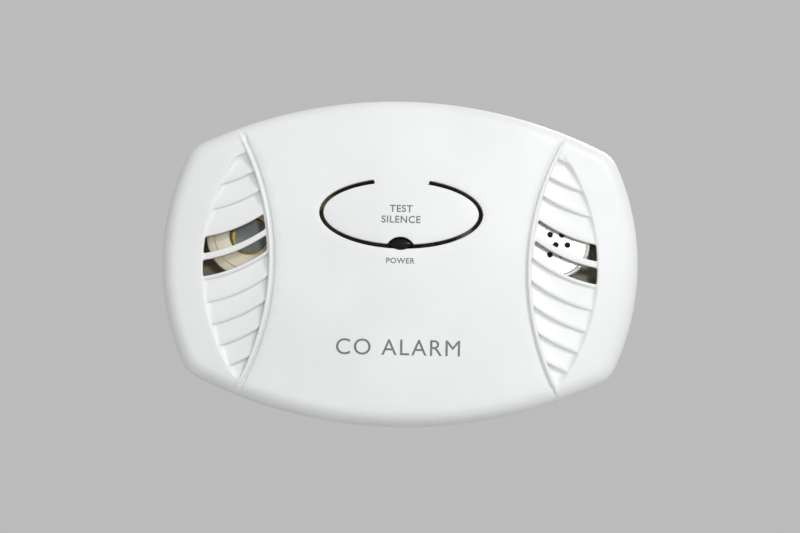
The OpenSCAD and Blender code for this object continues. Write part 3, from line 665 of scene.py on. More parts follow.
guide_end_y = box_mm("led_lens")[1][1]
guide_collar_y = -29.6
guide = Shell()
guide_front_y = crown(0, WINDOW_Z) + 0.3
guide_rows = [lift(window_loop(-inset), at_depth(guide_front_y + drop))
              for inset, drop in ((0.9, 0.0), (0.6, 0.05), (0.35, 0.13), (0.15, 0.26), (0.04, 0.4),
                                  (0.0, 0.55))]
guide_rows.append(lift(window_loop(0), at_depth(guide_collar_y)))
guide.strips(guide_rows)
guide.skin(window_loop(-0.9), [], [], [], at_depth(guide_front_y))
guide.skin(window_loop(0), [], [], [], at_depth(guide_collar_y))
collar_r, guide_bore_r = WINDOW_W / 2 + 0.15, 1.9
collar_rows = [(collar_r - 0.3, guide_collar_y), (collar_r, guide_collar_y + 0.3), (collar_r, guide_end_y),
               (guide_bore_r, guide_end_y), (guide_bore_r, -28.9)]
guide.strips([lift(ring_loop((0, WINDOW_Z), r), at_depth(y)) for r, y in collar_rows])
for r, y in (collar_rows[0], collar_rows[-1]):
    guide.skin(ring_loop((0, WINDOW_Z), r), [], [], [], at_depth(y))
dark_acrylic = smoked_acrylic("smoked_acrylic", (0.004, 0.004, 0.005), 0.2)
light_guide = guide.finish("indicator_light_guide", dark_acrylic)
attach(light_guide, "root")
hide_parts("led_lens")

frame["nodes"]["status_led"].data.materials.clear()
frame["nodes"]["status_led"].data.materials.append(
    smoked_acrylic("green_led_epoxy", (0.25, 0.62, 0.28), 0.15))


# ---- Circuit board ---------------------------------------------------------------------------------------
# A single-sided laminate, pale olive and glossy, routed to the housing's outline. Copper shows through the
# lacquer as paler tracks, and each through-hole lead ends in a cone of solder.
def board_laminate(name):
    """Pale olive laminate with paler tracks under its lacquer."""
    material = bpy.data.materials.new(name)
    material.use_nodes = True
    nodes, links = material.node_tree.nodes, material.node_tree.links
    shader = nodes["Principled BSDF"]
    place = nodes.new("ShaderNodeTexCoord")
    flat = nodes.new("ShaderNodeMapping")
    flat.inputs["Scale"].default_value = (1, 0, 1)
    tracks = nodes.new("ShaderNodeTexVoronoi")
    tracks.distance = "CHEBYCHEV"
    tracks.inputs["Scale"].default_value = 170
    tracks.inputs["Randomness"].default_value = 0.85
    copper = nodes.new("ShaderNodeValToRGB")
    copper.color_ramp.interpolation = "CONSTANT"
    copper.color_ramp.elements[0].color = (0.40, 0.35, 0.21, 1)
    copper.color_ramp.elements[1].position = 0.46
    copper.color_ramp.elements[1].color = (0.50, 0.46, 0.30, 1)
    fibres = nodes.new("ShaderNodeTexNoise")
    fibres.inputs["Scale"].default_value = 1400
    fibres.inputs["Detail"].default_value = 3
    speck = nodes.new("ShaderNodeMix")
    speck.data_type, speck.blend_type = "RGBA", "OVERLAY"
    speck.inputs["Factor"].default_value = 0.5
    bump = nodes.new("ShaderNodeBump")
    bump.inputs["Strength"].default_value = 0.5
    bump.inputs["Distance"].default_value = 0.00003
    links.new(place.outputs["Object"], flat.inputs["Vector"])
    links.new(flat.outputs["Vector"], tracks.inputs["Vector"])
    links.new(place.outputs["Object"], fibres.inputs["Vector"])
    links.new(tracks.outputs["Distance"], copper.inputs["Fac"])
    links.new(copper.outputs["Color"], speck.inputs["A"])
    links.new(fibres.outputs["Color"], speck.inputs["B"])
    links.new(speck.outputs["Result"], shader.inputs["Base Color"])
    links.new(tracks.outputs["Distance"], bump.inputs["Height"])
    links.new(bump.outputs["Normal"], shader.inputs["Normal"])
    shader.inputs["Roughness"].default_value = 0.35
    return material


def worked_metal(name, colour, roughness, grain=(3000, 3000, 3000), depth=0.000004, drift=0.12):
    """A bare or plated metal whose fine marks run the way that grain is stretched."""
    material = bpy.data.materials.new(name)
    material.use_nodes = True
    nodes, links = material.node_tree.nodes, material.node_tree.links
    shader = nodes["Principled BSDF"]
    shader.inputs["Metallic"].default_value = 1.0
    place = nodes.new("ShaderNodeTexCoord")
    stretch = nodes.new("ShaderNodeMapping")
    stretch.inputs["Scale"].default_value = grain
    marks = nodes.new("ShaderNodeTexNoise")
    marks.inputs["Scale"].default_value = 1
    marks.inputs["Detail"].default_value = 4
    stains = nodes.new("ShaderNodeTexNoise")
    stains.inputs["Scale"].default_value = 160
    tint = nodes.new("ShaderNodeValToRGB")
    tint.color_ramp.elements[0].position, tint.color_ramp.elements[1].position = 0.3, 0.7
    tint.color_ramp.elements[0].color = grown_from(colour, 1 - drift)
    tint.color_ramp.elements[1].color = grown_from(colour, 1 + drift / 2)
    gloss = nodes.new("ShaderNodeMapRange")
    gloss.inputs["To Min"].default_value = roughness * 0.7
    gloss.inputs["To Max"].default_value = roughness * 1.3
    bump = nodes.new("ShaderNodeBump")
    bump.inputs["Strength"].default_value = 0.7
    bump.inputs["Distance"].default_value = depth
    links.new(place.outputs["Object"], stretch.inputs["Vector"])
    links.new(stretch.outputs["Vector"], marks.inputs["Vector"])
    links.new(place.outputs["Object"], stains.inputs["Vector"])
    links.new(stains.outputs["Fac"], tint.inputs["Fac"])
    links.new(tint.outputs["Color"], shader.inputs["Base Color"])
    links.new(marks.outputs["Fac"], gloss.inputs["Value"])
    links.new(gloss.outputs["Result"], shader.inputs["Roughness"])
    links.new(marks.outputs["Fac"], bump.inputs["Height"])
    links.new(bump.outputs["Normal"], shader.inputs["Normal"])
    return material


class Growth:
    """A Geometry Nodes tree under construction: its named inputs, and nodes wired up as they are added."""

    SOCKETS = {float: "NodeSocketFloat", int: "NodeSocketInt", bpy.types.Material: "NodeSocketMaterial"}

    def __init__(self, name, **inputs):
        self.group = bpy.data.node_groups.new(name, "GeometryNodeTree")
        sides = self.group.interface
        sides.new_socket("Geometry", in_out="INPUT", socket_type="NodeSocketGeometry")
        for key, value in inputs.items():
            sides.new_socket(key, in_out="INPUT", socket_type=self.SOCKETS[type(value)])
        sides.new_socket("Geometry", in_out="OUTPUT", socket_type="NodeSocketGeometry")
        self.values = inputs
        self.given = self.group.nodes.new("NodeGroupInput").outputs

    def add(self, kind, sockets=(), **settings):
        """Adds a node; a socket is named or numbered, and takes another node's output or a plain value."""
        node = self.group.nodes.new(kind)
        for key, value in settings.items():
            setattr(node, key, value)
        for key, value in dict(sockets).items():
            if isinstance(value, bpy.types.NodeSocket):
                self.group.links.new(value, node.inputs[key])
            else:
                node.inputs[key].default_value = value
        return node.outputs

    def math(self, a, b, operation):
        return self.add("ShaderNodeMath", {0: a, 1: b}, operation=operation)[0]

    def vector(self, x=0.0, y=0.0, z=0.0):
        return self.add("ShaderNodeCombineXYZ", {"X": x, "Y": y, "Z": z})[0]

    def moved(self, shape, by=None, turn=(0, 0, 0)):
        sockets = {"Geometry": shape, "Rotation": turn}
        if by is not None:
            sockets["Translation"] = by
        return self.add("GeometryNodeTransform", sockets)[0]

    def joined(self, *shapes):
        node = self.group.nodes.new("GeometryNodeJoinGeometry")
        for shape in reversed(shapes):
            self.group.links.new(shape, node.inputs[0])
        return node.outputs[0]

    def on_each_point(self, shape, smooth=True):
        """Ends the tree: the shape on each point, realised, with the given material."""
        points = self.add("GeometryNodeInstanceOnPoints",
                          {"Points": self.given["Geometry"], "Instance": shape})
        real = self.add("GeometryNodeRealizeInstances", {"Geometry": points[0]})
        shaded = self.add("GeometryNodeSetShadeSmooth", {"Geometry": real[0], "Shade Smooth": smooth})
        self.end(shaded[0])

    def end(self, shape):
        covered = self.add("GeometryNodeSetMaterial", {"Geometry": shape, "Material": self.given["Finish"]})
        out = self.group.nodes.new("NodeGroupOutput")
        self.group.links.new(covered[0], out.inputs[0])

    def grow(self, name, places, body="root", slot=None, replaces=(), sharp=30, **changes):
        """Grows the tree on places, in millimetres, and leaves one plain mesh that rides on body."""
        seeds = bpy.data.meshes.new(name)
        seeds.from_pydata([tuple(c * MM for c in p) for p in places], [], [])
        piece = bpy.data.objects.new(name, seeds)
        bpy.context.collection.objects.link(piece)
        work = piece.modifiers.new("growth", "NODES")
        work.node_group = self.group
        values = {**self.values, **changes}
        for item in self.group.interface.items_tree:
            if item.in_out == "INPUT" and item.name in values:
                work[item.identifier] = values[item.name]
        piece.data.update()
        made = bpy.data.meshes.new_from_object(piece.evaluated_get(bpy.context.evaluated_depsgraph_get()))
        piece.modifiers.remove(work)
        piece.data = made
        made.set_sharp_from_angle(angle=math.radians(sharp))
        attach(piece, body)
        if replaces:
            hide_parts(*replaces)
        return piece


paper_laminate = board_laminate("paper_laminate")
eased("circuit_board", "main_circuit_board", 0.12, paper_laminate)

board_front_y, board_back_y = (corner[1] for corner in box_mm("main_circuit_board"))
tin = worked_metal("tin_solder", (0.72, 0.73, 0.74), 0.28, grain=(2500, 2500, 2500))
joint_tree = Growth("solder_joint", **{"Pad radius": 1.1 * MM, "Height": 0.9 * MM, "Finish": tin})
cone = joint_tree.add("GeometryNodeMeshCone", {
    "Vertices": 12, "Side Segments": 4, "Radius Top": 0.0002,
    "Radius Bottom": joint_tree.given["Pad radius"], "Depth": joint_tree.given["Height"]})
fillet_turn = joint_tree.moved(cone["Mesh"], turn=(math.pi / 2, 0, 0))
joint_tree.on_each_point(fillet_turn)
joints_in_front = [(15, 20), (-15, 20), (34, 17.5), (34, 22.5), (44, 6), (44, 10), (-44, 8), (-30, 8),
                   (-23, 30), (-21, 24), (-8.5, 33), (4.5, 33), (31.5, -12), (34.5, -12)]
joints_in_front += [(x, z) for x in (12, 17, 22, 27) for z in (-6.5, 1.7)]
joint_tree.grow("solder_joints", [(x, board_front_y, z) for x, z in joints_in_front], slot="tinned_brass")


# ---- Switch and small chips ------------------------------------------------------------------------------
# A square tact switch under the button, with a round plunger that sinks as it is pressed, a controller in a
# flat black package with bent legs, and a scatter of chip resistors, all soldered flat on the board's front.
black_moulding = moulded_plastic("black_moulding", (0.02, 0.02, 0.022), 0.45, grain=0.00015, drift=0.25)
eased("tact_switch_case", "tact_switch_body", 0.25, black_moulding)
plunger_red = moulded_plastic("plunger_red", (0.45, 0.06, 0.05), 0.4, grain=0.0002, drift=0.1)
eased("tact_switch_cap", "tact_switch_plunger", 0.25, plunger_red, body="plunger")

chip_case = moulded_plastic("chip_case", (0.025, 0.025, 0.027), 0.55, grain=0.00008, drift=0.3)
low, high = box_mm("microcontroller")
LEG_PITCH, LEGS, CHIP_H = 1.27, 7, 4.0
chip_z = (low[2] + high[2]) / 2
package = Growth("chip_package", **{"Length": (high[0] - low[0]) * MM, "Width": CHIP_H * MM,
                                    "Height": 1.6 * MM, "Draft": 0.12 * MM, "Finish": chip_case})
size = package.vector(package.given["Length"], package.given["Height"], package.given["Width"])
brick = package.add("GeometryNodeMeshCube", {"Size": size, "Vertices X": 2, "Vertices Y": 3, "Vertices Z": 2})
spot = package.add("GeometryNodeInputPosition")["Position"]
parts = package.add("ShaderNodeSeparateXYZ", {0: spot})
lift_share = package.math(package.math(parts["Y"], package.given["Height"], "DIVIDE"), 0.0, "ABSOLUTE")
taper = package.math(lift_share, package.given["Draft"], "MULTIPLY")
side_x, side_z = (package.add("ShaderNodeMath", {0: parts[axis]}, operation="SIGN")[0] for axis in "XZ")
pull = package.vector(package.math(side_x, taper, "MULTIPLY"), 0.0, package.math(side_z, taper, "MULTIPLY"))
back_in = package.add("ShaderNodeVectorMath", {0: pull, "Scale": -2.0}, operation="SCALE")[0]
drafted = package.add("GeometryNodeSetPosition", {"Geometry": brick["Mesh"], "Offset": back_in})
package.on_each_point(drafted[0], smooth=False)
package.grow("controller_package", [((low[0] + high[0]) / 2, low[1] + 0.8, chip_z)], slot="chip_epoxy",
             replaces=("microcontroller",))

leg = Growth("gull_wing_leg", **{"Width": 0.4 * MM, "Thickness": 0.18 * MM, "Finish": tin})
run = leg.add("GeometryNodeCurvePrimitiveBezierSegment", {
    "Resolution": 8, "Start": (0, -1.1 * MM, -0.2 * MM), "Start Handle": (0, -1.1 * MM, 0.6 * MM),
    "End Handle": (0, -0.1 * MM, 0.1 * MM), "End": (0, -0.1 * MM, 1.1 * MM)})
face = leg.add("GeometryNodeCurvePrimitiveQuadrilateral", {
    "Width": leg.given["Thickness"], "Height": leg.given["Width"]})
bent = leg.add("GeometryNodeCurveToMesh", {"Curve": run["Curve"], "Profile Curve": face["Curve"],
                                           "Fill Caps": True})
leg.on_each_point(bent["Mesh"], smooth=False)
leg_xs = [low[0] + 1.2 + i * LEG_PITCH for i in range(LEGS)]
leg.grow("controller_legs_upper", [(x, board_front_y, chip_z + CHIP_H / 2) for x in leg_xs],
         slot="tinned_brass")
lower_legs = leg.grow("controller_legs_lower", [(x, board_front_y, -chip_z + CHIP_H / 2) for x in leg_xs],
                      slot="tinned_brass")
for v in lower_legs.data.vertices:
    v.co.z = -v.co.z
lower_legs.data.flip_normals()

RESISTORS_AT = [(-14, -4), (-14, -7), (-10, -4), (-10, -7), (8, -6), (8, -9), (28, -8), (28, -12)]
chip = Growth("chip_resistor", **{"Length": 2.0 * MM, "Width": 1.2 * MM, "Height": 0.55 * MM,
                                  "Finish": chip_case})
slab = chip.add("GeometryNodeMeshCube", {"Size": chip.vector(
    chip.math(chip.given["Length"], 0.7, "MULTIPLY"), chip.given["Height"], chip.given["Width"])})
chip.on_each_point(slab["Mesh"], smooth=False)
chip.grow("chip_resistor_bodies", [(x, board_front_y - 0.29, z) for x, z in RESISTORS_AT],
          slot="chip_epoxy", replaces=("chip_resistors",))
ends = Growth("chip_resistor_ends", **{"Length": 2.0 * MM, "Width": 1.2 * MM, "Height": 0.58 * MM,
                                       "Finish": tin})
cap_size = ends.vector(ends.math(ends.given["Length"], 0.17, "MULTIPLY"), ends.given["Height"],
                       ends.given["Width"])
cap = ends.add("GeometryNodeMeshCube", {"Size": cap_size})
away_x = ends.math(ends.given["Length"], 0.415, "MULTIPLY")
right_cap = ends.moved(cap["Mesh"], by=ends.vector(away_x, 0.0, 0.0))
left_cap = ends.moved(cap["Mesh"], by=ends.vector(ends.math(away_x, -1.0, "MULTIPLY"), 0.0, 0.0))
ends.on_each_point(ends.joined(left_cap, right_cap), smooth=False)
ends.grow("chip_resistor_ends", [(x, board_front_y - 0.3, z) for x, z in RESISTORS_AT], slot="tinned_brass")


# ---- Horn ------------------------------------------------------------------------------------------------
# The cream ring behind the left vent: a moulded resonator with a wide mouth, and glued inside it a brass
# disc with a grey ceramic wafer on its middle, both coloured darker than they are as painted shade for the
# shadow that the front cover casts into the mouth. A small drum coil on the board drives it.
def turned_piece(name, centre, rows, material, replaces=(), body="root", sharp=32, steps=72):
    """A round piece about a line along Y, from rows of radius and y; its ends are capped unless they meet."""
    shell = Shell()
    shell.strips([lift(ring_loop(centre, r, steps), at_depth(y)) for r, y in rows])
    if rows[0] != rows[-1]:
        for r, y in (rows[0], rows[-1]):
            shell.skin(ring_loop(centre, r, steps), [], [], [], at_depth(y))
    piece = shell.finish(name, material, sharp)
    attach(piece, body)
    if replaces:
        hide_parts(*replaces)
    return piece


horn_x, _, horn_z = middle("horn_housing")
horn_low, horn_high = box_mm("horn_housing")
HORN_R, HORN_MOUTH_R, HORN_WALL = (horn_high[0] - horn_low[0]) / 2, 5.4, 1.3
horn_front_y, horn_back_y = horn_low[1], horn_high[1]
cream_moulding = moulded_plastic("cream_moulding", (0.66, 0.60, 0.45), 0.42, grain=0.0003, drift=0.08)
turned_piece("horn_resonator", (horn_x, horn_z),
             [(HORN_MOUTH_R, -30.2), (HORN_MOUTH_R, horn_front_y + 0.5),
              (HORN_MOUTH_R + 0.15, horn_front_y + 0.15), (HORN_MOUTH_R + 0.5, horn_front_y),
              (HORN_R - 2.6, horn_front_y), (HORN_R - 2.3, horn_front_y + 0.25),
              (HORN_R - 0.9, horn_front_y + 0.3), (HORN_R - 0.3, horn_front_y + 0.5),
              (HORN_R, horn_front_y + 1.2),
              (HORN_R, horn_back_y), (HORN_R - HORN_WALL, horn_back_y), (HORN_R - HORN_WALL, -30.2),
              (HORN_MOUTH_R, -30.2)],
             cream_moulding, replaces=("horn_housing",))

plate_low, plate_high = box_mm("piezo_plate")
plate_front_y, plate_back_y = plate_low[1], plate_high[1]
plate_r = (plate_high[0] - plate_low[0]) / 2
# The brass is coloured much darker than bare brass. This is painted shade for the shadow that the front cover
# casts into the horn's mouth.
brass_sheet_painted_shade = worked_metal("brass_sheet_painted_shade", (0.30, 0.24, 0.085), 0.42, grain=(900, 900, 6000), drift=0.3)
turned_piece("piezo_brass_disc", (horn_x, horn_z),
             [(4.5, plate_front_y), (4.62, plate_front_y - 0.02), (4.9, plate_front_y - 0.02),
              (5.02, plate_front_y), (plate_r, plate_front_y), (plate_r, plate_back_y)],
             brass_sheet_painted_shade, replaces=("piezo_plate",))
# The wafer's grey is darkened. This is painted shade for the shadow inside the horn's mouth.
wafer_grey_painted_shade = moulded_plastic("ceramic_wafer_painted_shade", (0.26, 0.30, 0.29), 0.5, grain=0.0006, depth=0.00001,
                             drift=0.3)
turned_piece("piezo_wafer", (horn_x + 0.4, horn_z - 0.3),
             [(4.1, plate_front_y - 0.2), (4.3, plate_front_y - 0.16), (4.3, plate_front_y)],
             wafer_grey_painted_shade, replaces=("piezo_ceramic",))

coil_x, _, coil_z = middle("horn_coil")
coil_low, coil_high = (corner[1] for corner in box_mm("horn_coil"))
ferrite = moulded_plastic("ferrite", (0.035, 0.033, 0.034), 0.5, grain=0.0002, depth=0.00003, drift=0.3)
turned_piece("drum_coil_core", (coil_x, coil_z),
             [(3.9, coil_low), (4.2, coil_low + 0.3), (4.2, coil_low + 1.0), (2.4, coil_low + 1.0),
              (2.4, coil_high - 1.0), (4.2, coil_high - 1.0), (4.2, coil_high)],
             ferrite, replaces=("horn_coil",))
enamel = worked_metal("enamelled_copper", (0.52, 0.19, 0.07), 0.3)
winding = Growth("winding", **{"Turns": 16.0, "Coil radius": 3.2 * MM, "Length": 4.8 * MM,
                               "Wire radius": 0.17 * MM, "Finish": enamel})
helix = winding.add("GeometryNodeCurveSpiral", {
    "Resolution": 24, "Rotations": winding.given["Turns"], "Start Radius": winding.given["Coil radius"],
    "End Radius": winding.given["Coil radius"], "Height": winding.given["Length"]})
wire_face = winding.add("GeometryNodeCurvePrimitiveCircle", {"Resolution": 6,
                                                             "Radius": winding.given["Wire radius"]})
wound = winding.add("GeometryNodeCurveToMesh", {"Curve": helix["Curve"], "Profile Curve": wire_face["Curve"],
                                                "Fill Caps": True})
stood = winding.moved(wound["Mesh"], turn=(-math.pi / 2, 0, 0))
winding.on_each_point(stood)
winding.grow("drum_coil_winding", [(coil_x, coil_low + 1.1, coil_z)], slot="ferrite")


# ---- Gas sensor ------------------------------------------------------------------------------------------
# Behind the right vent, an electrochemical cell: a white can on three pins, closed by a crimped steel cap
# whose perforations let air down to a charcoal felt.
sensor_x, _, sensor_z = middle("sensor_can")
can_low, can_high = box_mm("sensor_can")
can_r = (can_high[0] - can_low[0]) / 2
can_front_y, can_back_y = can_low[1], can_high[1]
felt_r, felt_depth = 6.5, 0.8
sensor_white = moulded_plastic("sensor_white", (0.74, 0.74, 0.71), 0.5)
turned_piece("sensor_cell_can", (sensor_x, sensor_z),
             [(felt_r, can_front_y), (can_r - 0.25, can_front_y), (can_r, can_front_y + 0.25),
              (can_r, can_front_y + 2.2), (can_r - 0.35, can_front_y + 2.5),
              (can_r - 0.35, can_front_y + 3.1), (can_r, can_front_y + 3.4),
              (can_r, can_back_y - 0.3), (can_r - 0.3, can_back_y),
              (0.8, can_back_y), (0.8, can_front_y + felt_depth), (felt_r, can_front_y + felt_depth),
              (felt_r, can_front_y)],
             sensor_white, replaces=("sensor_can",))

cap_low, cap_high = box_mm("sensor_cap")
cap_r = (cap_high[0] - cap_low[0]) / 2
cap_front_y, cap_back_y = cap_low[1], cap_high[1]
nickel_steel = worked_metal("nickel_plated_steel", (0.62, 0.62, 0.60), 0.34, grain=(700, 700, 700))
perforated = Growth("perforated_cap", **{"Radius": cap_r * MM, "Thickness": (cap_back_y - cap_front_y) * MM,
                                         "Hole radius": 0.8 * MM, "Ring radius": 3.2 * MM, "Holes": 6,
                                         "Finish": nickel_steel})
disc = perforated.add("GeometryNodeMeshCylinder", {
    "Vertices": 96, "Radius": perforated.given["Radius"], "Depth": perforated.given["Thickness"]})
punch = perforated.add("GeometryNodeMeshCylinder", {
    "Vertices": 24, "Radius": perforated.given["Hole radius"],
    "Depth": perforated.math(perforated.given["Thickness"], 3.0, "MULTIPLY")})
around = perforated.add("GeometryNodeMeshCircle", {"Vertices": perforated.given["Holes"],
                                                   "Radius": perforated.given["Ring radius"]})
punches = perforated.add("GeometryNodeInstanceOnPoints",
                         {"Points": around["Mesh"], "Instance": punch["Mesh"]})
ring_of_punches = perforated.add("GeometryNodeRealizeInstances", {"Geometry": punches[0]})
every_punch = perforated.joined(ring_of_punches[0], punch["Mesh"])
punched = perforated.add("GeometryNodeMeshBoolean", {0: disc["Mesh"], 1: every_punch}, operation="DIFFERENCE")
perforated.on_each_point(perforated.moved(punched["Mesh"], turn=(math.pi / 2, 0, 0)))
perforated.grow("sensor_cap_plate", [(sensor_x, (cap_front_y + cap_back_y) / 2, sensor_z)],
                slot="nickel_steel", replaces=("sensor_cap",))
turned_piece("sensor_cap_crimp", (sensor_x, sensor_z),
             [(cap_r - 0.9, cap_front_y), (cap_r - 0.7, cap_front_y - 0.12),
              (cap_r - 0.2, cap_front_y - 0.12),
              (cap_r + 0.1, cap_front_y + 0.15), (cap_r + 0.1, cap_back_y), (cap_r - 0.9, cap_back_y),
              (cap_r - 0.9, cap_front_y)],
             nickel_steel)

felt = moulded_plastic("charcoal_felt", (0.02, 0.02, 0.021), 0.95, grain=0.0004, depth=0.0002, drift=0.5)
pin_metal = worked_metal("tinned_pins", (0.66, 0.60, 0.42), 0.35, grain=(2000, 200, 2000))
for node, material in (("sensor_filter", felt), ("sensor_pins", pin_metal)):
    frame["nodes"][node].data.materials.clear()
    frame["nodes"][node].data.materials.append(material)


# ---- Mains parts -----------------------------------------------------------------------------------------
# Behind the board: a yellow film capacitor, two blue-sleeved electrolytics, four glass-black diodes, a blue
# disc varistor and a green fusible resistor. Their leads go through the board and are soldered in front.
film_yellow = moulded_plastic("film_capacitor_yellow", (0.62, 0.42, 0.06), 0.35, grain=0.0008, drift=0.06)
eased("film_capacitor_box", "film_capacitor", 0.45, film_yellow, segments=3)
sleeve = moulded_plastic("capacitor_sleeve", (0.03, 0.045, 0.15), 0.3, grain=0.0009, drift=0.1)
eased("electrolytic_capacitors", "reservoir_capacitors", 0.6, sleeve, segments=3)
aluminium_end = worked_metal("capacitor_end_aluminium", (0.75, 0.76, 0.77), 0.3)
for x, z, r, y in ((34, 20, 5, -8), (44, 8, 4, -9.5)):
    turned_piece(f"capacitor_vent_{int(x)}", (x, z),
                 [(r - 1.1, y - 0.1), (r - 1.1, y + 0.03), (0.35, y + 0.03), (0.25, y - 0.1)],
                 aluminium_end, steps=48)

low, high = box_mm("rectifier_diodes")
DIODE_R, DIODE_L, DIODE_PITCH, DIODES = 1.35, 5.2, 5.0, 4
diode_z = (low[2] + high[2]) / 2
diode = Growth("diode_body", **{"Radius": DIODE_R * MM, "Length": DIODE_L * MM, "Finish": chip_case})
barrel = diode.add("GeometryNodeMeshCylinder", {
    "Vertices": 32, "Side Segments": 5, "Radius": diode.given["Radius"], "Depth": diode.given["Length"]})
barrel_spot = diode.add("ShaderNodeSeparateXYZ", {0: diode.add("GeometryNodeInputPosition")["Position"]})
end_share = diode.math(diode.math(barrel_spot["Z"], diode.given["Length"], "DIVIDE"), 0.0, "ABSOLUTE")
end_share = diode.math(end_share, 2.0, "MULTIPLY")
waist = diode.math(1.0, diode.math(diode.math(end_share, 8.0, "POWER"), 0.12, "MULTIPLY"), "SUBTRACT")
rounded = diode.add("GeometryNodeSetPosition", {"Geometry": barrel["Mesh"], "Position": diode.vector(
    diode.math(barrel_spot["X"], waist, "MULTIPLY"), diode.math(barrel_spot["Y"], waist, "MULTIPLY"),
    barrel_spot["Z"])})
diode.on_each_point(rounded[0])
diode_y = board_back_y + 1.6
diode_places = [(low[0] + DIODE_R + DIODE_PITCH * i, diode_y, diode_z) for i in range(DIODES)]
diode.grow("diode_bodies", diode_places, slot="chip_epoxy", replaces=("rectifier_diodes",))
silver_band = printing_ink("diode_band_silver", (0.55, 0.56, 0.57))
band = Growth("diode_band", **{"Radius": (DIODE_R + 0.02) * MM, "Length": 0.8 * MM, "Finish": silver_band})
hoop = band.add("GeometryNodeMeshCylinder", {"Vertices": 32, "Radius": band.given["Radius"],
                                             "Depth": band.given["Length"]})
band.on_each_point(hoop["Mesh"])
band.grow("diode_bands", [(x, y, z + 1.4) for x, y, z in diode_places], slot="chip_epoxy")
lead_wire = Growth("diode_lead", **{"Wire radius": 0.35 * MM, "Reach": 4.1 * MM, "Drop": 1.6 * MM,
                                    "Finish": tin})
over = lead_wire.vector(0.0, 0.0, lead_wire.given["Reach"])
down = lead_wire.math(lead_wire.given["Drop"], -1.0, "MULTIPLY")
foot = lead_wire.vector(0.0, down, lead_wire.given["Reach"])
bend = lead_wire.add("GeometryNodeCurvePrimitiveBezierSegment", {
    "Resolution": 12, "Start": (0, 0, 0), "Start Handle": over, "End Handle": over, "End": foot})
wire_round = lead_wire.add("GeometryNodeCurvePrimitiveCircle", {
    "Resolution": 10, "Radius": lead_wire.given["Wire radius"]})
up_lead = lead_wire.add("GeometryNodeCurveToMesh", {
    "Curve": bend["Curve"], "Profile Curve": wire_round["Curve"], "Fill Caps": True})
lead_wire.on_each_point(up_lead["Mesh"])
upper = lead_wire.grow("diode_leads_upper", diode_places, slot="tinned_brass")
lower = lead_wire.grow("diode_leads_lower", [(x, y, -z) for x, y, z in diode_places], slot="tinned_brass")
for v in lower.data.vertices:
    v.co.z = -v.co.z
lower.data.flip_normals()

varistor_blue = moulded_plastic("varistor_blue", (0.04, 0.13, 0.42), 0.25, grain=0.0007, depth=0.00004,
                                drift=0.1)
eased("disc_varistor", "surge_varistor", 0.9, varistor_blue, segments=4, limit=60)
resistor_green = moulded_plastic("resistor_green", (0.12, 0.27, 0.16), 0.5, grain=0.0004, drift=0.15)
eased("power_resistor", "fusible_resistor", 0.35, resistor_green, segments=3, limit=60)


# ---- Plug blades and their holder ------------------------------------------------------------------------
# Two flat blades of tinned brass, pressed into a white moulded holder that two screws hold behind the rear
# cover. Each blade has the usual round hole and a cut-back nose, and an insulated lead soldered to its tab.
blade_metal = worked_metal("tinned_brass_blade", (0.74, 0.68, 0.52), 0.27, grain=(400, 60, 5000), drift=0.1)
for node, name in (("line_blade", "blade_line"), ("neutral_blade", "blade_neutral")):
    eased(name, node, 0.22, blade_metal, segments=3)
holder_white = moulded_plastic("holder_white", (0.72, 0.71, 0.67), 0.5)
eased("blade_holder_block", "blade_holder", 0.35, holder_white)


def insulation(name, colour):
    """Soft PVC insulation, slightly glossy, with faint drag marks."""
    return moulded_plastic(name, colour, 0.38, grain=0.0006, depth=0.00001, drift=0.15)


for node, name, colour, slot in (
        ("line_lead", "lead_line", (0.02, 0.02, 0.02), "black_insulation"),
        ("neutral_lead", "lead_neutral", (0.75, 0.75, 0.72), "white_insulation"),
        ("battery_lead_red", "lead_battery_red", (0.5, 0.03, 0.025), "red_insulation"),
        ("battery_lead_black", "lead_battery_black", (0.02, 0.02, 0.02), "black_insulation")):
    eased(name, node, 0, insulation(slot + "_" + name, colour), limit=60)


# ---- Battery and contacts --------------------------------------------------------------------------------
# A nine-volt block in a rolled steel jacket with a plain printed sleeve, and the moulded plate with two
# sprung contacts that its snap terminals press against when the door is shut.
def sleeve_print(name, body_colour, band_colour, band_from, band_to):
    """A printed metal sleeve with one band of another colour round it."""
    material = worked_metal(name, body_colour, 0.32, grain=(300, 4000, 4000), drift=0.08)
    nodes, links = material.node_tree.nodes, material.node_tree.links
    place = next(n for n in nodes if n.bl_idname == "ShaderNodeTexCoord")
    along = nodes.new("ShaderNodeSeparateXYZ")
    band = nodes.new("ShaderNodeMapRange")
    band.interpolation_type = "SMOOTHSTEP"
    band.inputs["From Min"].default_value, band.inputs["From Max"].default_value = band_from, band_to
    colours = nodes.new("ShaderNodeMix")
    colours.data_type = "RGBA"
    colours.inputs["B"].default_value = (*band_colour, 1)
    shader = nodes["Principled BSDF"]
    base = shader.inputs["Base Color"].links[0].from_socket
    links.new(place.outputs["Object"], along.inputs["Vector"])
    links.new(along.outputs["X"], band.inputs["Value"])
    links.new(band.outputs["Result"], colours.inputs["Factor"])
    links.new(base, colours.inputs["A"])
    links.new(colours.outputs["Result"], shader.inputs["Base Color"])
    return material


jacket = sleeve_print("battery_sleeve", (0.05, 0.065, 0.10), (0.55, 0.56, 0.58), 0.0088, 0.0092)
eased("battery_steel_jacket", "battery_jacket", 0.3, jacket, segments=3)
eased("battery_end_plate", "battery_end_board", 0.3, black_moulding)
eased("battery_snap_positive", "battery_positive_terminal", 0.2, nickel_steel)
eased("battery_snap_negative", "battery_negative_terminal", 0.2, nickel_steel)
eased("contact_plate_moulding", "contact_plate", 0.3, black_moulding)
eased("contact_springs_pressed", "contact_springs", 0.15, nickel_steel)


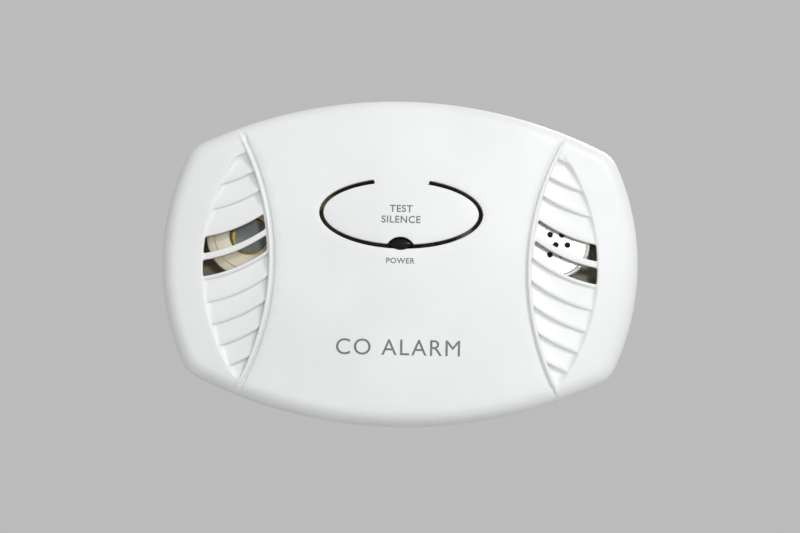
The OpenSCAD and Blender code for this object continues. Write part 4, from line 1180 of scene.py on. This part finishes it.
# ---- Rear cover ------------------------------------------------------------------------------------------
# The flat back, in a slightly greyer moulding, stepped in a little where it meets the front. It has sunk
# seats for the four case screws, slots for the blades, the battery's bay and a shallow pocket for the label,
# and a lip round its rim that locates it in the front cover.
rear_abs = moulded_plastic("rear_abs", (0.72, 0.73, 0.73), 0.5, grain=0.0004, depth=0.00003)
REAR_INSET, REAR_WALL, REAR_EDGE_R = 0.8, 2.0, 1.0
LIP_INSET, LIP_W, LIP_H, LIP_LAP = 2.25, 1.0, 2.0, 2.0
SEAT_R, SEAT_Y, SCREW_HOLE_R, SCREW_BOSS_R = 3.4, -9.0, 1.7, 4.8
HOLDER_BOSS_R, HOLDER_PILOT_R, HOLDER_BOSS_Y = 3.0, 1.2, -8.0
BAY_WALL, BAY_FLOOR_Y, DOOR_GAP = 1.2, -20.4, 0.4
BARREL_ROOM_R, POCKET_DEPTH, MOUTH_R = 1.6, 0.3, 0.25
HOLLOW_R, HOLLOW_DEPTH, HOLLOW_DROP = 12.4, 1.2, 3.6
HOLLOW_REACH = math.sqrt(HOLLOW_R ** 2 - (HOLLOW_R - HOLLOW_DEPTH) ** 2)
holder_screws_at = [(sx * 17, middle("holder_screws")[2]) for sx in (-1, 1)]
door_low, door_high = box_mm("battery_door")
door_x = (door_low[0] + door_high[0]) / 2
hinge_at = next(joint["pos_m"] for joint in frame["joints"] if joint["name"] == "door_hinge")
barrel_y, barrel_z = 1000 * hinge_at[1], 1000 * hinge_at[2]
hollow_z = door_high[2] - HOLLOW_DROP
PIN_L = 2.4
bay_xs = (door_low[0] + PIN_L - DOOR_GAP, door_high[0] - PIN_L + DOOR_GAP)
bay_top, bay_foot = door_high[2] + DOOR_GAP, barrel_z - 0.8


def rect_loop(low, high, grow=0.0, corner_r=0.3, per_side=24):
    """A rounded rectangle in x and z, with the same number of points however it has grown."""
    x0, z0, x1, z1 = low[0] - grow, low[1] - grow, high[0] + grow, high[1] + grow
    r = max(corner_r + grow, 0.05)
    loop = []
    corners = ((x1 - r, z1 - r), (x0 + r, z1 - r), (x0 + r, z0 + r), (x1 - r, z0 + r))
    for i, centre in enumerate(corners):
        turn = math.radians(90 * (i + 1))
        nxt = corners[(i + 1) % 4]
        loop += arc(centre, r, turn - math.pi / 2, turn, 5)
        for k in range(per_side):
            x, z = (centre[n] + (nxt[n] - centre[n]) * k / per_side for n in (0, 1))
            loop.append((x + r * math.cos(turn), z + r * math.sin(turn)))
    return loop


def back_y(x, z):
    """The back's surface: flat, but for the finger hollow that it shares with the door."""
    away = math.hypot(x - door_x, z - hollow_z)
    if away >= HOLLOW_REACH:
        return 0.0
    return HOLLOW_R - HOLLOW_DEPTH - math.sqrt(HOLLOW_R ** 2 - away * away)


rear = Shell()
slots = [((low[0], low[2]), (high[0], high[2]))
         for low, high in (box_mm("line_blade"), box_mm("neutral_blade"))]
label_low, label_high = box_mm("rating_label")
pocket = ((label_low[0], label_low[2]), (label_high[0], label_high[2]))
bay = ((bay_xs[0], bay_foot), (bay_xs[1], bay_top))
bay_mouth_foot = barrel_z - BARREL_ROOM_R


def bay_loop(foot, grow=0.0):
    """The battery bay's outline, down to a given foot."""
    return rect_loop((bay[0][0], foot), bay[1], grow, per_side=40)


seat_mouths = [ring_loop(at, SEAT_R + MOUTH_R) for at in case_screws_at]
slot_mouths = [rect_loop(*slot, 0.15 + MOUTH_R / 2, 0.15) for slot in slots]
hollow_spots = [(door_x + dx / 2, bay_top + 0.35 + dz * 0.45) for dx in range(-9, 10) for dz in range(3)
                if math.hypot(dx / 2, bay_top + 0.35 + dz * 0.45 - hollow_z) < 5.1]
hollow_rim = [(door_x + HOLLOW_REACH * math.cos(t), hollow_z + HOLLOW_REACH * math.sin(t))
              for t in np.radians(np.linspace(58, 122, 33))]
hollow_rim = [p for p in hollow_rim if p[1] > bay_top + MOUTH_R + 0.1]


def clear_of_back_holes(x, z):
    """Whether a place on the back keeps clear of its seats, slots, bay, pocket and bosses."""
    near_seat = min(math.hypot(x - a, z - b) for a, b in case_screws_at) < SEAT_R + 1.5
    near_bay = bay[0][0] - 1.5 < x < bay[1][0] + 1.5 and bay_mouth_foot - 1.5 < z < bay_top + 3
    near_pocket = pocket[0][0] - 1.5 < x < pocket[1][0] + 1.5 and pocket[0][1] - 1.5 < z < pocket[1][1] + 1.5
    near_slots = abs(x) < 9.5 and slots[1][0][1] - 1.5 < z < slots[1][1][1] + 1.5
    near_holder = min(math.hypot(x - a, z - b) for a, b in holder_screws_at) < HOLDER_BOSS_R + 1
    return not (near_seat or near_bay or near_pocket or near_slots or near_holder)


rear.skin(outline(REAR_INSET + REAR_EDGE_R), [*seat_mouths, *slot_mouths, bay_loop(bay_mouth_foot, MOUTH_R),
                                              rect_loop(*pocket, 0.5)],
          [hollow_rim],
          plain_spots(4, REAR_INSET + REAR_EDGE_R + 2, clear_of_back_holes) + hollow_spots, back_y)
edge_rows = [(REAR_INSET + REAR_EDGE_R * (1 - math.sin(t)), -REAR_EDGE_R * (1 - math.cos(t)))
             for t in [math.radians(a) for a in range(0, 91, 15)]]
rim_y, tip_y = PARTING_Y, PARTING_Y - LIP_H
edge_rows += [(REAR_INSET, rim_y + 0.1), (REAR_INSET + 0.1, rim_y), (LIP_INSET, rim_y),
              (LIP_INSET, tip_y + 0.2), (LIP_INSET + 0.2, tip_y), (LIP_INSET + LIP_W - 0.2, tip_y),
              (LIP_INSET + LIP_W, tip_y + 0.2),
              (LIP_INSET + LIP_W, rim_y + LIP_LAP), (REAR_INSET + REAR_WALL, rim_y + LIP_LAP),
              (REAR_INSET + REAR_WALL, -REAR_WALL)]
rear.strips([lift(outline(inset), at_depth(y)) for inset, y in edge_rows])

for at in case_screws_at:
    section = [(SEAT_R + MOUTH_R, 0), (SEAT_R + 0.07, -0.07), (SEAT_R, -MOUTH_R), (SEAT_R, SEAT_Y),
               (SCREW_HOLE_R, SEAT_Y), (SCREW_HOLE_R, tip_y + 0.2), (SCREW_BOSS_R, tip_y + 0.2),
               (SCREW_BOSS_R, -REAR_WALL)]
    rear.strips([lift(ring_loop(at, r), at_depth(y)) for r, y in section])
for slot in slots:
    rear.strips([lift(rect_loop(*slot, grow, 0.15), at_depth(y))
                 for grow, y in ((0.15 + MOUTH_R / 2, 0), (0.15, -MOUTH_R / 2), (0.15, -REAR_WALL))])
rear.strips([lift(rect_loop(*pocket, 0.5), at_depth(y)) for y in (0, -POCKET_DEPTH)])
rear.skin(rect_loop(*pocket, 0.5), [], [], [], at_depth(-POCKET_DEPTH))

bay_rows = [lift(bay_loop(bay_mouth_foot, MOUTH_R), back_y),
            lift(bay_loop(bay_mouth_foot, 0.07), lambda x, z: back_y(x, z) - 0.07),
            lift(bay_loop(bay_mouth_foot), lambda x, z: back_y(x, z) - MOUTH_R),
            lift(bay_loop(bay_mouth_foot), at_depth(barrel_y))]
for turn in (15, 30, 45, 60):
    round_y = barrel_y - BARREL_ROOM_R * math.sin(math.radians(turn))
    foot_z = barrel_z - BARREL_ROOM_R * math.cos(math.radians(turn))
    bay_rows.append(lift(bay_loop(foot_z), at_depth(round_y)))
bay_rows.append(lift(bay_loop(bay_foot), at_depth(BAY_FLOOR_Y)))
rear.strips(bay_rows)
rear.skin(bay_loop(bay_foot), [], [], [], at_depth(BAY_FLOOR_Y))
bay_outside = bay_loop(bay_foot, BAY_WALL)
rear.strips([lift(bay_outside, at_depth(y)) for y in (BAY_FLOOR_Y - BAY_WALL, -REAR_WALL)])
rear.skin(bay_outside, [], [], [], at_depth(BAY_FLOOR_Y - BAY_WALL))
for at in holder_screws_at:
    section = [(HOLDER_BOSS_R, -REAR_WALL), (HOLDER_BOSS_R, HOLDER_BOSS_Y), (HOLDER_PILOT_R, HOLDER_BOSS_Y),
               (HOLDER_PILOT_R, -REAR_WALL - 0.6)]
    rear.strips([lift(ring_loop(at, r, 24), at_depth(y)) for r, y in section])
    rear.skin(ring_loop(at, HOLDER_PILOT_R, 24), [], [], [], at_depth(-REAR_WALL - 0.6))
inner_mouths = [ring_loop(at, SCREW_BOSS_R) for at in case_screws_at]
inner_mouths += [rect_loop(*slot, 0.15, 0.15) for slot in slots] + [bay_outside]
inner_mouths += [ring_loop(at, HOLDER_BOSS_R, 24) for at in holder_screws_at]
rear.skin(outline(REAR_INSET + REAR_WALL), inner_mouths, [],
          plain_spots(6, REAR_INSET + REAR_WALL + 3, clear_of_back_holes), at_depth(-REAR_WALL))
rear_cover = rear.finish("rear_cover_shell", rear_abs)
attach(rear_cover, "root")
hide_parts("rear_cover")


# ---- Battery door ----------------------------------------------------------------------------------------
# A snap-shut panel hinged on two pins at its lower edge, with a dished finger hold at its top. Five small
# ribs across the dish give the fingertip its grip, and three long ones stiffen the inner side.
eased("battery_door_panel", "battery_door", 0.25, rear_abs, body="door")
grip = Growth("grip_rib", **{"Length": 5.0 * MM, "Rib radius": 0.3 * MM, "Finish": rear_abs})
half_rib = grip.math(grip.given["Length"], 0.5, "MULTIPLY")
rib_line = grip.add("GeometryNodeCurvePrimitiveLine", {
    "Start": grip.vector(grip.math(half_rib, -1.0, "MULTIPLY"), 0.0, 0.0),
    "End": grip.vector(half_rib, 0.0, 0.0)})
rib_round = grip.add("GeometryNodeCurvePrimitiveCircle",
                     {"Resolution": 16, "Radius": grip.given["Rib radius"]})
rib_body = grip.add("GeometryNodeCurveToMesh", {
    "Curve": rib_line["Curve"], "Profile Curve": rib_round["Curve"], "Fill Caps": True})
rib_end = grip.add("GeometryNodeMeshUVSphere",
                   {"Segments": 16, "Rings": 8, "Radius": grip.given["Rib radius"]})
right_end = grip.moved(rib_end["Mesh"], by=grip.vector(half_rib, 0.0, 0.0))
left_end = grip.moved(rib_end["Mesh"], by=grip.vector(grip.math(half_rib, -1.0, "MULTIPLY"), 0.0, 0.0))
grip.on_each_point(grip.joined(rib_body["Mesh"], right_end, left_end))
grip_zs = [hollow_z + rise for rise in (-2.8, -1.6, -0.4, 0.8, 2.0)]
grip.grow("door_grip_ribs", [(door_x, back_y(door_x, z), z) for z in grip_zs], body="door", slot="rear_cover")
grip.grow("door_inner_ribs", [(door_x, -1.65, barrel_z + rise) for rise in (5, 11, 17)],
          body="door", slot="rear_cover", **{"Length": 42 * MM, "Rib radius": 0.8 * MM})


# ---- Rear label ------------------------------------------------------------------------------------------
# A plain satin film set in the pocket on the back. It carries only a ruled frame and blank ruled rows.
film_grey = moulded_plastic("label_film", (0.55, 0.56, 0.57), 0.35, grain=0.0012, depth=0.000005)
frame["nodes"]["rating_label"].data.materials.clear()
frame["nodes"]["rating_label"].data.materials.append(film_grey)
label_x, label_z = (label_low[0] + label_high[0]) / 2, (label_low[2] + label_high[2]) / 2
label_w, label_h = label_high[0] - label_low[0], label_high[2] - label_low[2]
rule = Growth("label_rule", **{"Length": 20.0 * MM, "Width": 0.25 * MM, "Film": 0.03 * MM,
                               "Finish": grey_ink})
stroke = rule.add("GeometryNodeMeshCube", {"Size": rule.vector(rule.given["Length"], rule.given["Film"],
                                                               rule.given["Width"])})
rule.on_each_point(stroke["Mesh"], smooth=False)
ROWS = 5
rows = [(label_x, label_high[1], label_z + (i - (ROWS - 1) / 2) * 3.1) for i in range(ROWS)]
rule.grow("label_rows", rows, slot="label_film", Length=(label_w - 6) * MM)
rule.grow("label_frame_across",
          [(label_x, label_high[1], label_z + s * (label_h / 2 - 1.2)) for s in (-1, 1)],
          slot="label_film", Length=(label_w - 2.4) * MM)
rule.grow("label_frame_up", [(label_x + s * (label_w / 2 - 1.2), label_high[1], label_z) for s in (-1, 1)],
          slot="label_film", Length=0.25 * MM, Width=(label_h - 2.4) * MM)


# ---- Screws ----------------------------------------------------------------------------------------------
# Zinc-plated pan-head screws with cross recesses and coarse threads for plastic: four through the back into
# the front cover, four that hold the board, and two that hold the blade holder.
zinc = worked_metal("zinc_plate", (0.60, 0.61, 0.62), 0.3, grain=(1500, 1500, 1500))
screw = Growth("pan_head_screw", **{
    "Head radius": 2.9 * MM, "Head height": 2.2 * MM, "Shank radius": 1.4 * MM, "Shank length": 15.0 * MM,
    "Thread pitch": 1.2 * MM, "Facing": 1.0, "Finish": zinc})
dome = screw.add("GeometryNodeMeshUVSphere",
                 {"Segments": 40, "Rings": 24, "Radius": screw.given["Head radius"]})
dome_spot = screw.add("ShaderNodeSeparateXYZ", {0: screw.add("GeometryNodeInputPosition")["Position"]})
flatness = screw.math(screw.given["Head height"], screw.given["Head radius"], "DIVIDE")
flattened = screw.math(dome_spot["Z"], flatness, "MULTIPLY")
above_seat = screw.math(flattened, 0.0, "MAXIMUM")
head = screw.add("GeometryNodeSetPosition", {"Geometry": dome["Mesh"], "Position": screw.vector(
    dome_spot["X"], dome_spot["Y"], above_seat)})
welded = screw.add("GeometryNodeMergeByDistance", {"Geometry": head[0], "Distance": 1e-6})
bar_long = screw.math(screw.given["Head radius"], 1.1, "MULTIPLY")
bar_wide = screw.math(screw.given["Head radius"], 0.26, "MULTIPLY")
bar_one = screw.add("GeometryNodeMeshCube", {"Size": screw.vector(bar_long, bar_wide,
                                                                  screw.given["Head height"])})
bar_two = screw.add("GeometryNodeMeshCube", {"Size": screw.vector(bar_wide, bar_long,
                                                                  screw.given["Head height"])})
sink = screw.vector(0.0, 0.0, screw.math(screw.given["Head height"], 0.95, "MULTIPLY"))
recess = screw.joined(screw.moved(bar_one["Mesh"], by=sink), screw.moved(bar_two["Mesh"], by=sink))
driven = screw.add("GeometryNodeMeshBoolean", {0: welded[0], 1: recess}, operation="DIFFERENCE")
shank = screw.add("GeometryNodeMeshCylinder", {
    "Vertices": 24, "Radius": screw.math(screw.given["Shank radius"], 0.8, "MULTIPLY"),
    "Depth": screw.given["Shank length"]})
shank_down = screw.moved(shank["Mesh"], by=screw.vector(
    0.0, 0.0, screw.math(screw.given["Shank length"], -0.499, "MULTIPLY")))
turns_of_thread = screw.math(screw.given["Shank length"], screw.given["Thread pitch"], "DIVIDE")
thread_r = screw.math(screw.given["Shank radius"], 0.8, "MULTIPLY")
thread_line = screw.add("GeometryNodeCurveSpiral", {
    "Resolution": 20, "Rotations": turns_of_thread, "Start Radius": thread_r, "End Radius": thread_r,
    "Height": screw.math(screw.given["Shank length"], 0.96, "MULTIPLY")})
thread_face = screw.add("GeometryNodeCurvePrimitiveCircle", {
    "Resolution": 5, "Radius": screw.math(screw.given["Shank radius"], 0.19, "MULTIPLY")})
thread = screw.add("GeometryNodeCurveToMesh", {"Curve": thread_line["Curve"],
                                               "Profile Curve": thread_face["Curve"], "Fill Caps": True})
thread_down = screw.moved(thread["Mesh"], by=screw.vector(
    0.0, 0.0, screw.math(screw.given["Shank length"], -0.98, "MULTIPLY")))
whole = screw.joined(driven["Mesh"], shank_down, thread_down)
quarter_turn = screw.math(screw.given["Facing"], -math.pi / 2, "MULTIPLY")
screw.on_each_point(screw.moved(whole, turn=screw.vector(quarter_turn)))


def screw_places(node, seat_y, head_r):
    """The four, or two, places of a group of screws, from the corners of their box."""
    low, high = box_mm(node)
    xs = (low[0] + head_r, high[0] - head_r)
    zs = (low[2] + head_r, high[2] - head_r)
    if zs[1] - zs[0] < 1:
        zs = ((zs[0] + zs[1]) / 2,)
    return [(x, seat_y, z) for x in xs for z in zs]


case_high = box_mm("case_screws")[1][1]
screw.grow("case_screw_set", screw_places("case_screws", case_high - 2.2, 2.9), slot="zinc_screw",
           replaces=("case_screws",), sharp=40)
screw.grow("board_screw_set", [(x, board_back_y, z) for x, z in board_screws_at], slot="zinc_screw",
           replaces=("board_screws",), sharp=40,
           **{"Head radius": 2.4 * MM, "Head height": 1.7 * MM, "Shank radius": 1.1 * MM,
              "Shank length": 7.0 * MM, "Thread pitch": 0.9 * MM})
holder_low = box_mm("holder_screws")[0][1]
screw.grow("holder_screw_set", screw_places("holder_screws", holder_low + 1.7, 2.4), slot="zinc_screw",
           replaces=("holder_screws",), sharp=40,
           **{"Head radius": 2.4 * MM, "Head height": 1.7 * MM, "Shank radius": 1.1 * MM,
              "Shank length": 6.0 * MM, "Thread pitch": 0.9 * MM, "Facing": -1.0})


# ---- Camera, floor and lights ----------------------------------------------------------------------------
# A long lens, square on to the face from a little below it and rolled slightly, that takes in 220 mm at the
# face. The alarm stands over a plain pale floor, lit by a key light from the upper right, a small front
# light, a wide fill from the left and a light from behind.
camera = bpy.data.objects.new("camera", bpy.data.cameras.new("camera"))
bpy.context.collection.objects.link(camera)
bpy.context.scene.camera = camera
target = Vector((0, -0.019, 0))
away, elevation, roll = 0.95, math.radians(-4), math.radians(1.2)
camera.location = target + away * Vector((0, -math.cos(elevation), math.sin(elevation)))
look = (target - camera.location).to_track_quat("-Z", "Y")
camera.rotation_euler = look.to_euler()
camera.rotation_euler.rotate_axis("Z", roll)
camera.data.lens = 36 * (away - 0.019) / 0.22
camera.data.clip_start = 0.01

world = bpy.data.worlds.new("studio")
bpy.context.scene.world = world
world.use_nodes = True
world.node_tree.nodes["Background"].inputs["Color"].default_value = (1, 1, 1, 1)
world.node_tree.nodes["Background"].inputs["Strength"].default_value = 0.5
bpy.context.scene.view_settings.view_transform = "Standard"

floor_mesh = bmesh.new()
bmesh.ops.create_grid(floor_mesh, x_segments=4, y_segments=4, size=2)
bmesh.ops.translate(floor_mesh, verts=floor_mesh.verts, vec=(0, 0, -0.12))
floor = bpy.data.objects.new("floor", bpy.data.meshes.new("floor"))
floor_mesh.to_mesh(floor.data)
floor_mesh.free()
bpy.context.collection.objects.link(floor)
floor.data.materials.append(moulded_plastic("pale_floor", (0.55, 0.55, 0.55), 0.8, drift=0.0))


def soft_light(name, place, size, power, spread=180):
    """A round area light aimed at the alarm, with its spread in degrees."""
    light = bpy.data.objects.new(name, bpy.data.lights.new(name, "AREA"))
    light.data.shape, light.data.size = "DISK", size
    light.data.energy = power
    light.data.spread = math.radians(spread)
    light.location = place
    light.visible_camera = False
    light.rotation_euler = (Vector((0, -0.02, 0)) - Vector(place)).to_track_quat("-Z", "Y").to_euler()
    bpy.context.collection.objects.link(light)


soft_light("key", (0.62, -0.85, 0.66), 0.3, 6)
soft_light("front", (0.26, -1.05, 0.17), 0.14, 0.32, spread=70)
soft_light("fill", (-0.8, -0.9, 0.1), 0.9, 1.2)
soft_light("back", (0.5, 0.9, 0.7), 0.4, 6)
